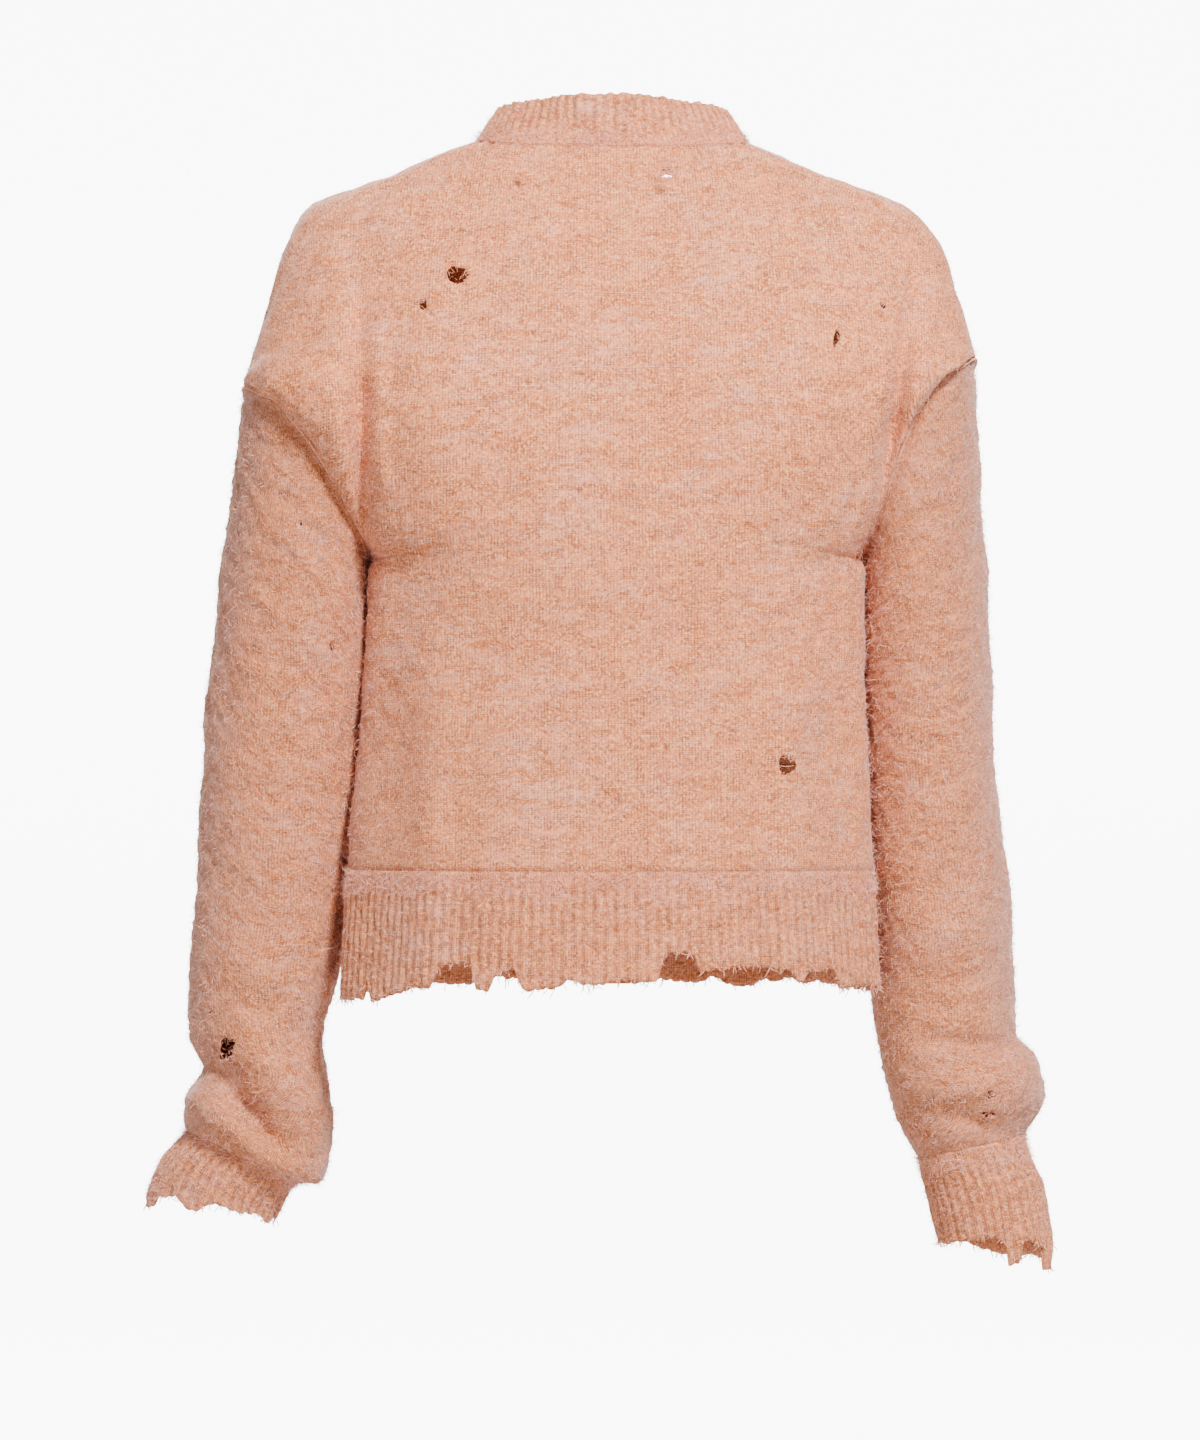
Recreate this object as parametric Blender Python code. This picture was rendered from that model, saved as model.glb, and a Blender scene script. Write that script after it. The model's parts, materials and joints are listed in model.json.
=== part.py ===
"""A ribbed mohair cardigan, worn and buttoned, standing hollow in the form that a wearer gives it.

X runs to the wearer's left, the front faces -Y and Z is up. The origin is in the middle of the neck
opening, at the height where the shoulders meet the neck. All sizes are in metres.
"""
import math

import bmesh
import bpy
import numpy as np

for old in list(bpy.data.objects):
    bpy.data.objects.remove(old, do_unlink=True)

WALL = 0.0025                # thickness of the knitted cloth
RIB_WALL = 0.0022            # thickness of a ribbed band between its ribs
RIB_PITCH = 0.0064           # distance from one rib to the next
RIB_RISE = 0.0010            # height of a rib over the band
SEAM_GAP = 0.00032           # clearance between two pieces at a seam

RIB_TOP = -0.4560            # height where the welt joins the body
WELT_BOTTOM = -0.5280        # height of the welt's edge where it is whole
UNDERARM = -0.2625           # height of the underarm point
SIDE_SPACING = 1.5           # how quickly rows draw together towards the underarm
CENTRE_LIFT = 0.0125         # rise of a row from the underarm to the middle of the back
BODY_ROUNDNESS = 2.4         # 2 is an ellipse, more is boxier
SLEEVE_ROUNDNESS = 2.15

BAND_WIDTH = 0.0300          # width of each front band
OVERLAP_RISE = 0.0026        # how far the right front stands off to lie over the left band
OVERLAP_BLEND = 0.0300       # width over which that rise fades out
OVER_WALL = 0.0021           # thickness of the upper front band
NECKBAND_HEIGHT = 0.0300
NECKBAND_LEAN = 0.43         # how far the neckband leans in for each unit that it rises
SIDE_LEAN = 0.30             # added to that over the shoulders
BACK_LEAN = 0.28             # taken from it behind the neck
BACK_TALLER = 0.10           # part by which it stands taller behind the neck
SIDE_SHORTER = 0.16          # part by which it is shorter over the shoulders
NECK_MIDDLE_Y = -0.0120      # the middle of the neck that it leans towards
FRONT_RISE = (0.0, 0.39, 0.92)       # direction of the neckband and the front bands at the throat
TRUNK_CORE = (0.0500, 0.0, -0.2800)  # a place inside each half of the trunk

SIDE_ROWS = 9
ARMHOLE_ROWS = 9
SHOULDER_ROWS = 6
HALF_COLUMNS = 11
SLEEVE_ROWS = 16
CUFF_ROWS = 2
WELT_ROWS = 2
NECKBAND_ROWS = 2
FRONT_BAND_ROWS = 13

BUTTON_RADIUS = 0.0090
BUTTON_THICKNESS = 0.0030
BUTTON_HOLE_RADIUS = 0.0009
BUTTON_HOLE_SPACING = 0.0020
BUTTON_SEGMENTS = 14
BUTTON_LIFT = 0.0004         # clearance between a button and the ribs under it
BUTTON_RIM = 0.9             # part of its radius on which a button rests
BUTTON_HEIGHTS = (-0.105, -0.186, -0.267, -0.348, -0.429, -0.508)

LEFT = 1
RIGHT = -1
BACK = 1
FRONT = -1
SIDES = {LEFT: "left", RIGHT: "right"}

# The trunk under the arms: half widths at the side seams.
TRUNK_COLUMNS = ("height", "left", "right")
TRUNK = (
    (-0.545, 0.1560, 0.1600),
    (-0.500, 0.1550, 0.1590),
    (-0.456, 0.1525, 0.1565),
    (-0.400, 0.1480, 0.1540),
    (-0.340, 0.1425, 0.1515),
    (-0.300, 0.1400, 0.1510),
    (-0.2700, 0.1400, 0.1520),
    (-0.2625, 0.1455, 0.1590),
)
FLANK_TURN = 78              # degrees round from the middle of the back to the flank's fullest place
FLANK_SPREAD = 13
FLANK_RISE = 0.0090
FLANK_FADE = 0.15            # part of the side seam over which the fullness fades below the underarm

# The middle of the back and of the front, from the welt to the neck.
PROFILE_COLUMNS = ("height", "back", "front")
PROFILE = (
    (-0.545, 0.1300, -0.1290),
    (-0.456, 0.1200, -0.1300),
    (-0.400, 0.1090, -0.1290),
    (-0.330, 0.1060, -0.1320),
    (-0.250, 0.1130, -0.1380),
    (-0.200, 0.1150, -0.1320),
    (-0.150, 0.1110, -0.1120),
    (-0.100, 0.0970, -0.0850),
    (-0.085, 0.0910, -0.0780),
    (-0.057, 0.0760, -0.0662),
    (-0.030, 0.0620, -0.0600),
    (-0.006, 0.0500, -0.0560),
)

# The ridge of each shoulder, from the top of the armhole (0) to the neck (1).
SHOULDER_COLUMNS = ("along", "left_x", "left_z", "right_x", "right_z")
SHOULDER = (
    (0.00, 0.2275, -0.1580, 0.2306, -0.1406),
    (0.23, 0.2120, -0.1060, 0.2200, -0.1000),
    (0.40, 0.2010, -0.0660, 0.2070, -0.0650),
    (0.50, 0.1880, -0.0430, 0.1900, -0.0420),
    (0.61, 0.1670, -0.0340, 0.1680, -0.0340),
    (0.80, 0.1270, -0.0205, 0.1280, -0.0235),
    (0.91, 0.1030, -0.0090, 0.1060, -0.0140),
    (1.00, 0.0820, -0.0010, 0.0875, -0.0030),
)

# Middle height of each panel row from the underarm (1) over the armhole (2) to the neck (3).
MIDDLE_COLUMNS = ("row", "back", "front")
MIDDLE = (
    (1.0, -0.2500, -0.2500),
    (1.5, -0.1800, -0.1780),
    (2.0, -0.1080, -0.1060),
    (2.5, -0.0550, -0.0930),
    (3.0, -0.0060, -0.0850),
)

# How far the armhole seam bulges up over a straight line, and the part of the sleeve that follows it.
ARMHOLE_BULGE = {LEFT: 0.0150, RIGHT: 0.0170}
BULGE_REACH = 0.20

# Each sleeve from its armhole (0) to its cuff (1) and down the cuff (2): outer and inner edge,
# half of its depth and the place of its middle, as seen from behind.
SLEEVE_COLUMNS = ("along", "outer_x", "outer_z", "inner_x", "inner_z", "half_depth", "middle_y")
LEFT_SLEEVE = (
    (0.00, 0.2275, -0.1580, 0.1455, -0.2625, 0.0630, 0.0000),
    (0.05, 0.2300, -0.1760, 0.1500, -0.2760, 0.0620, -0.0020),
    (0.15, 0.2370, -0.2200, 0.1480, -0.3000, 0.0610, -0.0060),
    (0.30, 0.2465, -0.2900, 0.1480, -0.3350, 0.0590, -0.0110),
    (0.45, 0.2530, -0.3600, 0.1500, -0.3760, 0.0580, -0.0160),
    (0.58, 0.2550, -0.4200, 0.1540, -0.4250, 0.0570, -0.0210),
    (0.70, 0.2575, -0.4800, 0.1600, -0.4800, 0.0555, -0.0260),
    (0.79, 0.2625, -0.5300, 0.1700, -0.5280, 0.0535, -0.0310),
    (0.85, 0.2610, -0.5600, 0.1790, -0.5600, 0.0530, -0.0350),
    (0.90, 0.2525, -0.5800, 0.1765, -0.5850, 0.0530, -0.0380),
    (0.95, 0.2655, -0.6010, 0.1725, -0.6150, 0.0540, -0.0410),
    (1.00, 0.2610, -0.6200, 0.1835, -0.6540, 0.0440, -0.0440),
    (1.50, 0.2790, -0.6420, 0.2010, -0.6670, 0.0400, -0.0460),
    (2.00, 0.2860, -0.6640, 0.2100, -0.6740, 0.0390, -0.0480),
)
RIGHT_SLEEVE = (
    (0.00, 0.2306, -0.1406, 0.1590, -0.2625, 0.0630, 0.0000),
    (0.05, 0.2310, -0.1700, 0.1615, -0.2760, 0.0620, -0.0020),
    (0.15, 0.2330, -0.2150, 0.1590, -0.3000, 0.0610, -0.0060),
    (0.30, 0.2385, -0.2900, 0.1575, -0.3350, 0.0590, -0.0110),
    (0.45, 0.2405, -0.3600, 0.1585, -0.3760, 0.0580, -0.0160),
    (0.58, 0.2450, -0.4200, 0.1600, -0.4250, 0.0570, -0.0210),
    (0.70, 0.2530, -0.4800, 0.1625, -0.4850, 0.0555, -0.0260),
    (0.79, 0.2550, -0.5250, 0.1665, -0.5330, 0.0535, -0.0310),
    (0.85, 0.2560, -0.5580, 0.1715, -0.5700, 0.0530, -0.0350),
    (0.90, 0.2700, -0.5750, 0.1765, -0.5950, 0.0535, -0.0380),
    (0.95, 0.2745, -0.5960, 0.1860, -0.6200, 0.0530, -0.0410),
    (1.00, 0.2630, -0.6220, 0.1950, -0.6370, 0.0420, -0.0440),
    (1.50, 0.2740, -0.6550, 0.2015, -0.6590, 0.0400, -0.0460),
    (2.00, 0.2800, -0.6900, 0.2090, -0.6860, 0.0390, -0.0480),
)
SLEEVES = {LEFT: LEFT_SLEEVE, RIGHT: RIGHT_SLEEVE}

# Soft folds in the trunk: the place of the middle, slant, half length, half width and rise (negative sinks).
FOLD_COLUMNS = ("x", "z", "slant", "long", "wide", "rise")
FOLD_AT_RIB = 0.35           # part of a fold's rise that is left where the welt holds the cloth
FOLD_RIB_FADE = 0.30         # part of the side seam over which it comes back
BACK_FOLDS = (
    (-0.117, -0.430, 88, 0.060, 0.014, 0.0050),
    (-0.097, -0.440, 86, 0.050, 0.012, -0.0040),
    (0.090, -0.460, 84, 0.050, 0.013, -0.0040),
    (0.112, -0.440, 92, 0.060, 0.014, 0.0040),
    (0.120, -0.330, 70, 0.060, 0.018, 0.0040),
    (-0.125, -0.320, 110, 0.060, 0.018, 0.0040),
    (0.165, -0.120, 62, 0.040, 0.016, 0.0040),
    (-0.165, -0.125, 118, 0.040, 0.016, 0.0040),
)
FRONT_FOLDS = (
    (-0.110, -0.400, 84, 0.070, 0.015, 0.0050),
    (0.105, -0.420, 95, 0.060, 0.015, 0.0045),
    (0.080, -0.210, 55, 0.050, 0.014, 0.0035),
    (-0.085, -0.200, 124, 0.050, 0.014, 0.0040),
)

# The groove where the trunk turns into the arm: its depth from the underarm (1) to above the armhole.
GROOVE_COLUMNS = ("row", "left_x", "right_x", "half_width", "depth")
GROOVE = (
    (1.0, 0.148, 0.160, 0.016, 0.000),
    (1.2, 0.147, 0.161, 0.020, 0.008),
    (1.5, 0.146, 0.166, 0.022, 0.012),
    (1.8, 0.147, 0.172, 0.022, 0.011),
    (2.0, 0.148, 0.177, 0.022, 0.008),
    (2.3, 0.150, 0.183, 0.022, 0.003),
    (2.6, 0.151, 0.185, 0.018, 0.000),
    (3.0, 0.151, 0.185, 0.018, 0.000),
)

# Folds in the sleeves, given as the trunk's are.
LEFT_SLEEVE_FOLDS_BEHIND = (
    (0.226, -0.603, 52, 0.032, 0.0110, -0.0070),
    (0.205, -0.590, 52, 0.034, 0.0120, 0.0045),
    (0.226, -0.628, 35, 0.038, 0.0110, 0.0040),
    (0.215, -0.520, 20, 0.030, 0.0120, 0.0030),
)
LEFT_SLEEVE_FOLDS_BEFORE = (
    (0.215, -0.430, -30, 0.035, 0.0170, -0.0040),
    (0.215, -0.465, -25, 0.035, 0.0170, 0.0040),
    (0.220, -0.585, 20, 0.035, 0.0130, -0.0040),
)
RIGHT_SLEEVE_FOLDS_BEHIND = (
    (-0.235, -0.566, 8, 0.034, 0.0110, -0.0045),
    (-0.235, -0.590, -5, 0.040, 0.0120, 0.0050),
    (-0.236, -0.616, 16, 0.036, 0.0100, -0.0040),
    (-0.210, -0.500, -15, 0.030, 0.0120, 0.0030),
)
RIGHT_SLEEVE_FOLDS_BEFORE = (
    (-0.210, -0.425, 28, 0.035, 0.0170, -0.0040),
    (-0.212, -0.460, 24, 0.035, 0.0170, 0.0040),
    (-0.230, -0.595, -15, 0.035, 0.0130, -0.0040),
)
SLEEVE_FOLDS = {
    (LEFT, BACK): LEFT_SLEEVE_FOLDS_BEHIND,
    (LEFT, FRONT): LEFT_SLEEVE_FOLDS_BEFORE,
    (RIGHT, BACK): RIGHT_SLEEVE_FOLDS_BEHIND,
    (RIGHT, FRONT): RIGHT_SLEEVE_FOLDS_BEFORE,
}

# The torn edge of the back welt, from the wearer's right to left: x and the height of the edge.
TORN_COLUMNS = ("x", "edge")
BACK_TORN = (
    (-0.166, -0.5284),
    (-0.145, -0.5265),
    (-0.141, -0.5166),
    (-0.124, -0.5176),
    (-0.119, -0.5225),
    (-0.100, -0.5146),
    (-0.058, -0.5156),
    (-0.054, -0.5048),
    (-0.036, -0.5058),
    (-0.031, -0.5215),
    (-0.020, -0.5225),
    (0.052, -0.5274),
    (0.058, -0.5156),
    (0.069, -0.5166),
    (0.074, -0.5284),
    (0.081, -0.5274),
    (0.084, -0.5137),
    (0.105, -0.5146),
    (0.111, -0.5265),
    (0.128, -0.5304),
    (0.146, -0.5353),
    (0.149, -0.5215),
    (0.152, -0.5363),
    (0.166, -0.5343),
)
FRONT_TORN = (
    (-0.166, -0.5310),
    (-0.120, -0.5260),
    (-0.090, -0.5300),
    (-0.050, -0.5270),
    (0.000, -0.5290),
    (0.060, -0.5270),
    (0.100, -0.5300),
    (0.130, -0.5250),
    (0.166, -0.5370),
)

# How far each cuff's worn edge falls short, by the angle round the arm from the outer side.
FRAY_COLUMNS = ("angle", "left", "right")
FRAY = (
    (0.0, 0.0020, -0.0080),
    (25.0, 0.0000, -0.0070),
    (50.0, 0.0010, 0.0000),
    (90.0, 0.0000, 0.0010),
    (130.0, 0.0020, 0.0000),
    (180.0, 0.0000, 0.0010),
    (230.0, 0.0010, -0.0040),
    (290.0, 0.0020, -0.0100),
    (335.0, 0.0010, -0.0110),
    (360.0, 0.0020, -0.0080),
)

# Holes worn through the cloth: piece, place, half width, half height and slant, as seen from behind.
HOLE_COLUMNS = ("piece", "x", "z", "half_width", "half_height", "slant")
HOLES = (
    ("back", 0.0930, -0.0875, 0.0068, 0.0054, 10),
    ("back", 0.1135, -0.1060, 0.0023, 0.0038, 0),
    ("back", -0.0363, -0.0142, 0.0056, 0.0026, 0),
    ("back", -0.0581, -0.0152, 0.0047, 0.0025, 0),
    ("back", 0.0494, -0.0142, 0.0026, 0.0020, 0),
    ("back", -0.1110, -0.3902, 0.0050, 0.0062, 0),
    ("back", -0.1415, -0.1270, 0.0017, 0.0050, 0),
    ("left_sleeve_behind", 0.2375, -0.5675, 0.0048, 0.0066, 8),
    ("right_sleeve_behind", -0.2394, -0.5963, 0.0026, 0.0025, 0),
    ("right_sleeve_behind", -0.2375, -0.6088, 0.0037, 0.0019, 0),
)
HOLE_SIDES = 7
HOLE_UNEVEN = 0.16           # part by which a hole's outline swells and shrinks
HOLE_VARIETY = 40.0          # how fast that outline turns from one hole to the next, in radians a metre
HOLE_REACH = 0.030           # half length of a cutter, from the back of the cloth to its inside

# Half of a button's section, as parts of its radius and thickness, from its back to its face.
BUTTON_PROFILE = (
    (0.00, 0.00),
    (0.86, 0.00),
    (1.00, 0.45),
    (0.92, 1.00),
    (0.70, 0.62),
    (0.00, 0.56),
)

# Colour and roughness of each finish.
FINISH_COLUMNS = ("finish", "red", "green", "blue", "roughness")
FINISHES = (
    ("mohair", 0.68, 0.40, 0.30, 0.95),
    ("mohair_rib", 0.62, 0.36, 0.27, 0.95),
    ("button_horn", 0.36, 0.19, 0.12, 0.45),
)


def read(rows, columns, name, at):
    """One column of a table, read between its rows along a smooth curve that never passes them."""
    where = np.array([row[0] for row in rows], float)
    value = np.array([row[columns.index(name)] for row in rows], float)
    step = np.diff(value) / np.diff(where)
    before, after = step[:-1], step[1:]
    level = 2.0 * before * after / np.where(before * after > 0, before + after, 1.0)
    slope = np.concatenate([step[:1], np.where(before * after > 0, level, 0.0), step[-1:]])
    at = np.clip(np.asarray(at, float), where[0], where[-1])
    low = np.clip(np.searchsorted(where, at) - 1, 0, len(where) - 2)
    span = where[low + 1] - where[low]
    part = (at - where[low]) / span
    square = part * part
    cube = square * part
    return ((2 * cube - 3 * square + 1) * value[low] + (cube - 2 * square + part) * span * slope[low]
            + (3 * square - 2 * cube) * value[low + 1] + (cube - square) * span * slope[low + 1])


def read_straight(rows, columns, name, at):
    """One column of a table, read between its rows along straight lines."""
    where = [row[0] for row in rows]
    value = [row[columns.index(name)] for row in rows]
    return np.interp(at, where, value)


def unit(vectors):
    """Each vector divided by its own length."""
    return vectors / np.maximum(np.linalg.norm(vectors, axis=-1, keepdims=True), 1e-12)


def smooth(part):
    """A rise from 0 to 1 that starts and ends level."""
    part = np.clip(part, 0.0, 1.0)
    return part * part * (3.0 - 2.0 * part)


def rounded(value, roundness):
    """A cosine or sine raised, with its sign, to the power that squares off an ellipse."""
    return np.sign(value) * np.abs(value) ** (2.0 / roundness)


def fold_height(x, z, folds):
    """Sum of long soft ridges: each falls off along and across its slant as a bell curve."""
    height = np.zeros(np.broadcast(x, z).shape)
    for row in folds:
        fold = dict(zip(FOLD_COLUMNS, row))
        turn = math.radians(fold["slant"])
        along = (x - fold["x"]) * math.cos(turn) + (z - fold["z"]) * math.sin(turn)
        across = (z - fold["z"]) * math.cos(turn) - (x - fold["x"]) * math.sin(turn)
        height = height + fold["rise"] * np.exp(-(along / fold["long"]) ** 2 - (across / fold["wide"]) ** 2)
    return height


def sleeve_ring(side, along, angle):
    """A sleeve or cuff at a place along it and an angle round it, 0 outside and 90 degrees behind.

    Each ring is a squared-off ellipse between its outer and inner edge; the first one also bulges up
    as the armhole does, and folds push it forwards or backwards.
    """
    rows = SLEEVES[side]
    outer_x = side * read(rows, SLEEVE_COLUMNS, "outer_x", along)
    outer_z = read(rows, SLEEVE_COLUMNS, "outer_z", along)
    inner_x = side * read(rows, SLEEVE_COLUMNS, "inner_x", along)
    inner_z = read(rows, SLEEVE_COLUMNS, "inner_z", along)
    depth = read(rows, SLEEVE_COLUMNS, "half_depth", along)
    middle = read(rows, SLEEVE_COLUMNS, "middle_y", along)
    bulge = ARMHOLE_BULGE[side] * np.clip(1.0 - along / BULGE_REACH, 0.0, 1.0) ** 1.5
    cosine = rounded(np.cos(angle), SLEEVE_ROUNDNESS)
    sine = rounded(np.sin(angle), SLEEVE_ROUNDNESS)
    x = (outer_x + inner_x) / 2 + (outer_x - inner_x) / 2 * cosine
    z = (outer_z + inner_z) / 2 + (outer_z - inner_z) / 2 * cosine + bulge * np.sin(angle) ** 2
    y = middle + depth * sine
    behind = fold_height(x, z, SLEEVE_FOLDS[(side, BACK)]) * smooth(np.sin(angle) * 1.6)
    before = fold_height(x, z, SLEEVE_FOLDS[(side, FRONT)]) * smooth(-np.sin(angle) * 1.6)
    fade = smooth(along / 0.15) * smooth((1.0 - along) / 0.04)
    return np.stack(np.broadcast_arrays(x, y + (behind - before) * fade, z), axis=-1)


def panel_edge(side, facing, row):
    """Outer edge of a panel row: side seam (0 to 1), armhole (1 to 2) and shoulder ridge (2 to 3)."""
    name = SIDES[side]
    seam_z = UNDERARM - (UNDERARM - RIB_TOP) * np.clip(1.0 - row, 0.0, 1.0) ** SIDE_SPACING
    seam_x = side * read(TRUNK, TRUNK_COLUMNS, name, seam_z)
    armhole = sleeve_ring(side, 0.0, facing * math.pi * np.clip(2.0 - row, 0.0, 1.0))
    along = np.clip(row - 2.0, 0.0, 1.0)
    ridge_x = side * read(SHOULDER, SHOULDER_COLUMNS, name + "_x", along)
    ridge_z = read(SHOULDER, SHOULDER_COLUMNS, name + "_z", along)
    x = np.where(row <= 1.0, seam_x, np.where(row <= 2.0, armhole[..., 0], ridge_x))
    y = np.where((row > 1.0) & (row < 2.0), armhole[..., 1], 0.0)
    z = np.where(row <= 1.0, seam_z, np.where(row <= 2.0, armhole[..., 2], ridge_z))
    return x, y, z


def panel(side, facing, row, turn):
    """Trunk surface at a row and a turn from the middle of the back (0) to the middle of the front (180).

    In plan each row is a quarter of a squared-off ellipse from the middle to the row's outer edge, a
    little fuller at the flank. A groove sinks it where the arm begins, and soft folds push it
    forwards or backwards.
    """
    row, turn = np.broadcast_arrays(np.asarray(row, float), np.asarray(turn, float))
    half = math.pi / 2
    to_back = np.where(turn < half - 1e-9, 1.0, np.where(turn > half + 1e-9, -1.0, float(facing)))
    edge_x, edge_y, edge_z = panel_edge(side, facing, row)
    lift = CENTRE_LIFT * np.clip(row, 0.0, 1.0) ** 2
    upper = np.where(to_back > 0, read(MIDDLE, MIDDLE_COLUMNS, "back", row),
                     read(MIDDLE, MIDDLE_COLUMNS, "front", row))
    middle_z = np.where(row <= 1.0, edge_z + lift, upper)
    middle_y = np.where(to_back > 0, read(PROFILE, PROFILE_COLUMNS, "back", middle_z),
                        read(PROFILE, PROFILE_COLUMNS, "front", middle_z))
    start = np.where(to_back > 0, 0.0, side * BAND_WIDTH / 2)
    sine = np.abs(np.sin(turn))
    cosine = np.abs(np.cos(turn))
    flank = np.exp(-((np.degrees(turn) - FLANK_TURN) / FLANK_SPREAD) ** 2) * smooth((1.0 - row) / FLANK_FADE)
    x = start + (edge_x - start) * rounded(sine, BODY_ROUNDNESS) + side * FLANK_RISE * flank
    y = edge_y + (middle_y - edge_y) * rounded(cosine, BODY_ROUNDNESS)
    climb = smooth((row - 1.0) / 0.6) * smooth((3.0 - row) / 0.7)
    to_edge = (1.0 - climb) * sine ** 2 + climb * (1.0 - rounded(cosine, BODY_ROUNDNESS))
    z = middle_z + (edge_z - middle_z) * to_edge
    groove_x = side * read(GROOVE, GROOVE_COLUMNS, SIDES[side] + "_x", row)
    groove_width = read(GROOVE, GROOVE_COLUMNS, "half_width", row)
    groove_depth = read(GROOVE, GROOVE_COLUMNS, "depth", row) * (row > 1.0)
    sink = groove_depth * np.exp(-((x - groove_x) / groove_width) ** 2)
    folds = np.where(to_back > 0, fold_height(x, z, BACK_FOLDS), fold_height(x, z, FRONT_FOLDS))
    at_edge = smooth(cosine * 3.0)
    at_middle = np.where(to_back > 0, 1.0, smooth((np.abs(x) - BAND_WIDTH / 2) / 0.03))
    at_rib = FOLD_AT_RIB + (1.0 - FOLD_AT_RIB) * smooth(row / FOLD_RIB_FADE)
    y = y + to_back * (folds * at_rib - sink) * at_edge * at_middle
    return np.stack([x, y, z], axis=-1)


def normals(grid, closed=False, away=None):
    """Outward direction at each point of a grid, square to its rows and columns."""
    if closed:
        across = np.roll(grid, -1, axis=1) - np.roll(grid, 1, axis=1)
    else:
        across = np.gradient(grid, axis=1)
    down = np.gradient(grid, axis=0)
    out = unit(np.cross(across, down))
    centre = grid.mean(axis=(0, 1)) if away is None else np.asarray(away, float)
    if np.sum(out * (grid - centre)) < 0:
        out = -out
    return out


def stand_off(grid, out, side):
    """Lifts the wearer's right front near the middle, so that its band can lie over the left one."""
    if side == LEFT:
        return grid
    amount = OVERLAP_RISE * smooth(1.0 - (np.abs(grid[..., :1]) - BAND_WIDTH / 2) / OVERLAP_BLEND)
    amount = amount * (grid[..., 1:2] < 0)
    return grid + out * amount


def body(name, outer, inner, closed, finish):
    """A closed solid between an outer and an inner grid, closed round the edges of the piece."""
    rows, columns = outer.shape[:2]
    points = np.concatenate([outer.reshape(-1, 3), inner.reshape(-1, 3)])
    number = np.arange(rows * columns).reshape(rows, columns)
    below = rows * columns
    right = np.roll(number, -1, axis=1)
    last = columns if closed else columns - 1
    a, b = number[:-1, :last], right[:-1, :last]
    c, d = right[1:, :last], number[1:, :last]
    # Both skins are split along the same, shorter diagonal of each outer face, so they stay parallel.
    spot = outer.reshape(-1, 3)
    first = np.linalg.norm(spot[a] - spot[c], axis=-1) <= np.linalg.norm(spot[b] - spot[d], axis=-1)
    one = np.where(first[..., None], np.stack([a, b, c], -1), np.stack([a, b, d], -1)).reshape(-1, 3)
    two = np.where(first[..., None], np.stack([a, c, d], -1), np.stack([b, c, d], -1)).reshape(-1, 3)
    faces = [one, two, one[:, ::-1] + below, two[:, ::-1] + below]
    rims = [(number[0, :last], right[0, :last]), (right[-1, :last], number[-1, :last])]
    if not closed:
        rims += [(number[1:, 0], number[:-1, 0]), (number[:-1, -1], number[1:, -1])]
    for p, q in rims:
        faces.append(np.stack([p, p + below, q + below], -1))
        faces.append(np.stack([p, q + below, q], -1))
    mesh = bpy.data.meshes.new(name)
    mesh.from_pydata([tuple(map(float, point)) for point in points], [],
                     [tuple(map(int, face)) for face in np.concatenate(faces)])
    return finished(name, mesh, finish)


def finished(name, mesh, finish):
    """An object from a mesh, with faces turned out, smooth shading and its own finish."""
    work = bmesh.new()
    work.from_mesh(mesh)
    bmesh.ops.recalc_face_normals(work, faces=work.faces)
    work.to_mesh(mesh)
    work.free()
    mesh.update()
    for face in mesh.polygons:
        face.use_smooth = True
    thing = bpy.data.objects.new(name, mesh)
    bpy.context.scene.collection.objects.link(thing)
    material = bpy.data.materials.new(name + "_finish")
    material.use_nodes = True
    shader = material.node_tree.nodes["Principled BSDF"]
    row = [entry for entry in FINISHES if entry[0] == finish][0]
    shader.inputs["Base Color"].default_value = (*row[1:4], 1.0)
    shader.inputs["Roughness"].default_value = row[FINISH_COLUMNS.index("roughness")]
    shader.inputs["Metallic"].default_value = 0.0
    material.diffuse_color = (*row[1:4], 1.0)
    mesh.materials.append(material)
    return thing


def tangents(line, parts):
    """Direction along a seam, worked out separately on each part between its corners."""
    out = np.zeros_like(line)
    for first, last in parts:
        out[first:last + 1] = unit(np.gradient(line[first:last + 1], axis=0))
    return out


def along_line(line, count):
    """Points at equal steps along a line of points."""
    steps = np.linalg.norm(np.diff(line, axis=0), axis=1)
    reach = np.concatenate([[0.0], np.cumsum(steps)])
    wanted = np.linspace(0.0, reach[-1], count + 1)
    return np.stack([np.interp(wanted, reach, line[:, axis]) for axis in range(3)], axis=1)


def length(line):
    """Length of a line of points."""
    return float(np.linalg.norm(np.diff(line, axis=0), axis=1).sum())


def rib_lift(count):
    """Rise of each column of a ribbed band: every second one stands up."""
    return RIB_RISE * (np.arange(count) % 2)


SIDE_END = SIDE_ROWS
ARMHOLE_END = SIDE_ROWS + ARMHOLE_ROWS
LAST_ROW = ARMHOLE_END + SHOULDER_ROWS
ROWS = np.concatenate([
    np.linspace(0.0, 1.0, SIDE_ROWS + 1),
    np.linspace(1.0, 2.0, ARMHOLE_ROWS + 1)[1:],
    np.linspace(2.0, 3.0, SHOULDER_ROWS + 1)[1:],
])[:, None]
SHOULDER_SHIFT = math.radians(26)   # the shoulder seam lies this far behind the ridge
SEAM_TURN = math.pi / 2 - SHOULDER_SHIFT * smooth((ROWS - 2.0) / 0.6)
SPREAD = np.linspace(0.0, 1.0, HALF_COLUMNS + 1)[None, :]


def core(side):
    """A place inside the trunk, half way to the left or the right arm."""
    return np.array(TRUNK_CORE) * np.array([side, 1.0, 1.0])


def trunk_grids(side):
    """Back and front half panels of one side, each from its middle to its edge."""
    back = panel(side, BACK, ROWS, SPREAD * SEAM_TURN)
    front = panel(side, FRONT, ROWS, math.pi - SPREAD * (math.pi - SEAM_TURN))
    front = stand_off(front, normals(front, away=core(side)), side)
    return back, front


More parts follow.
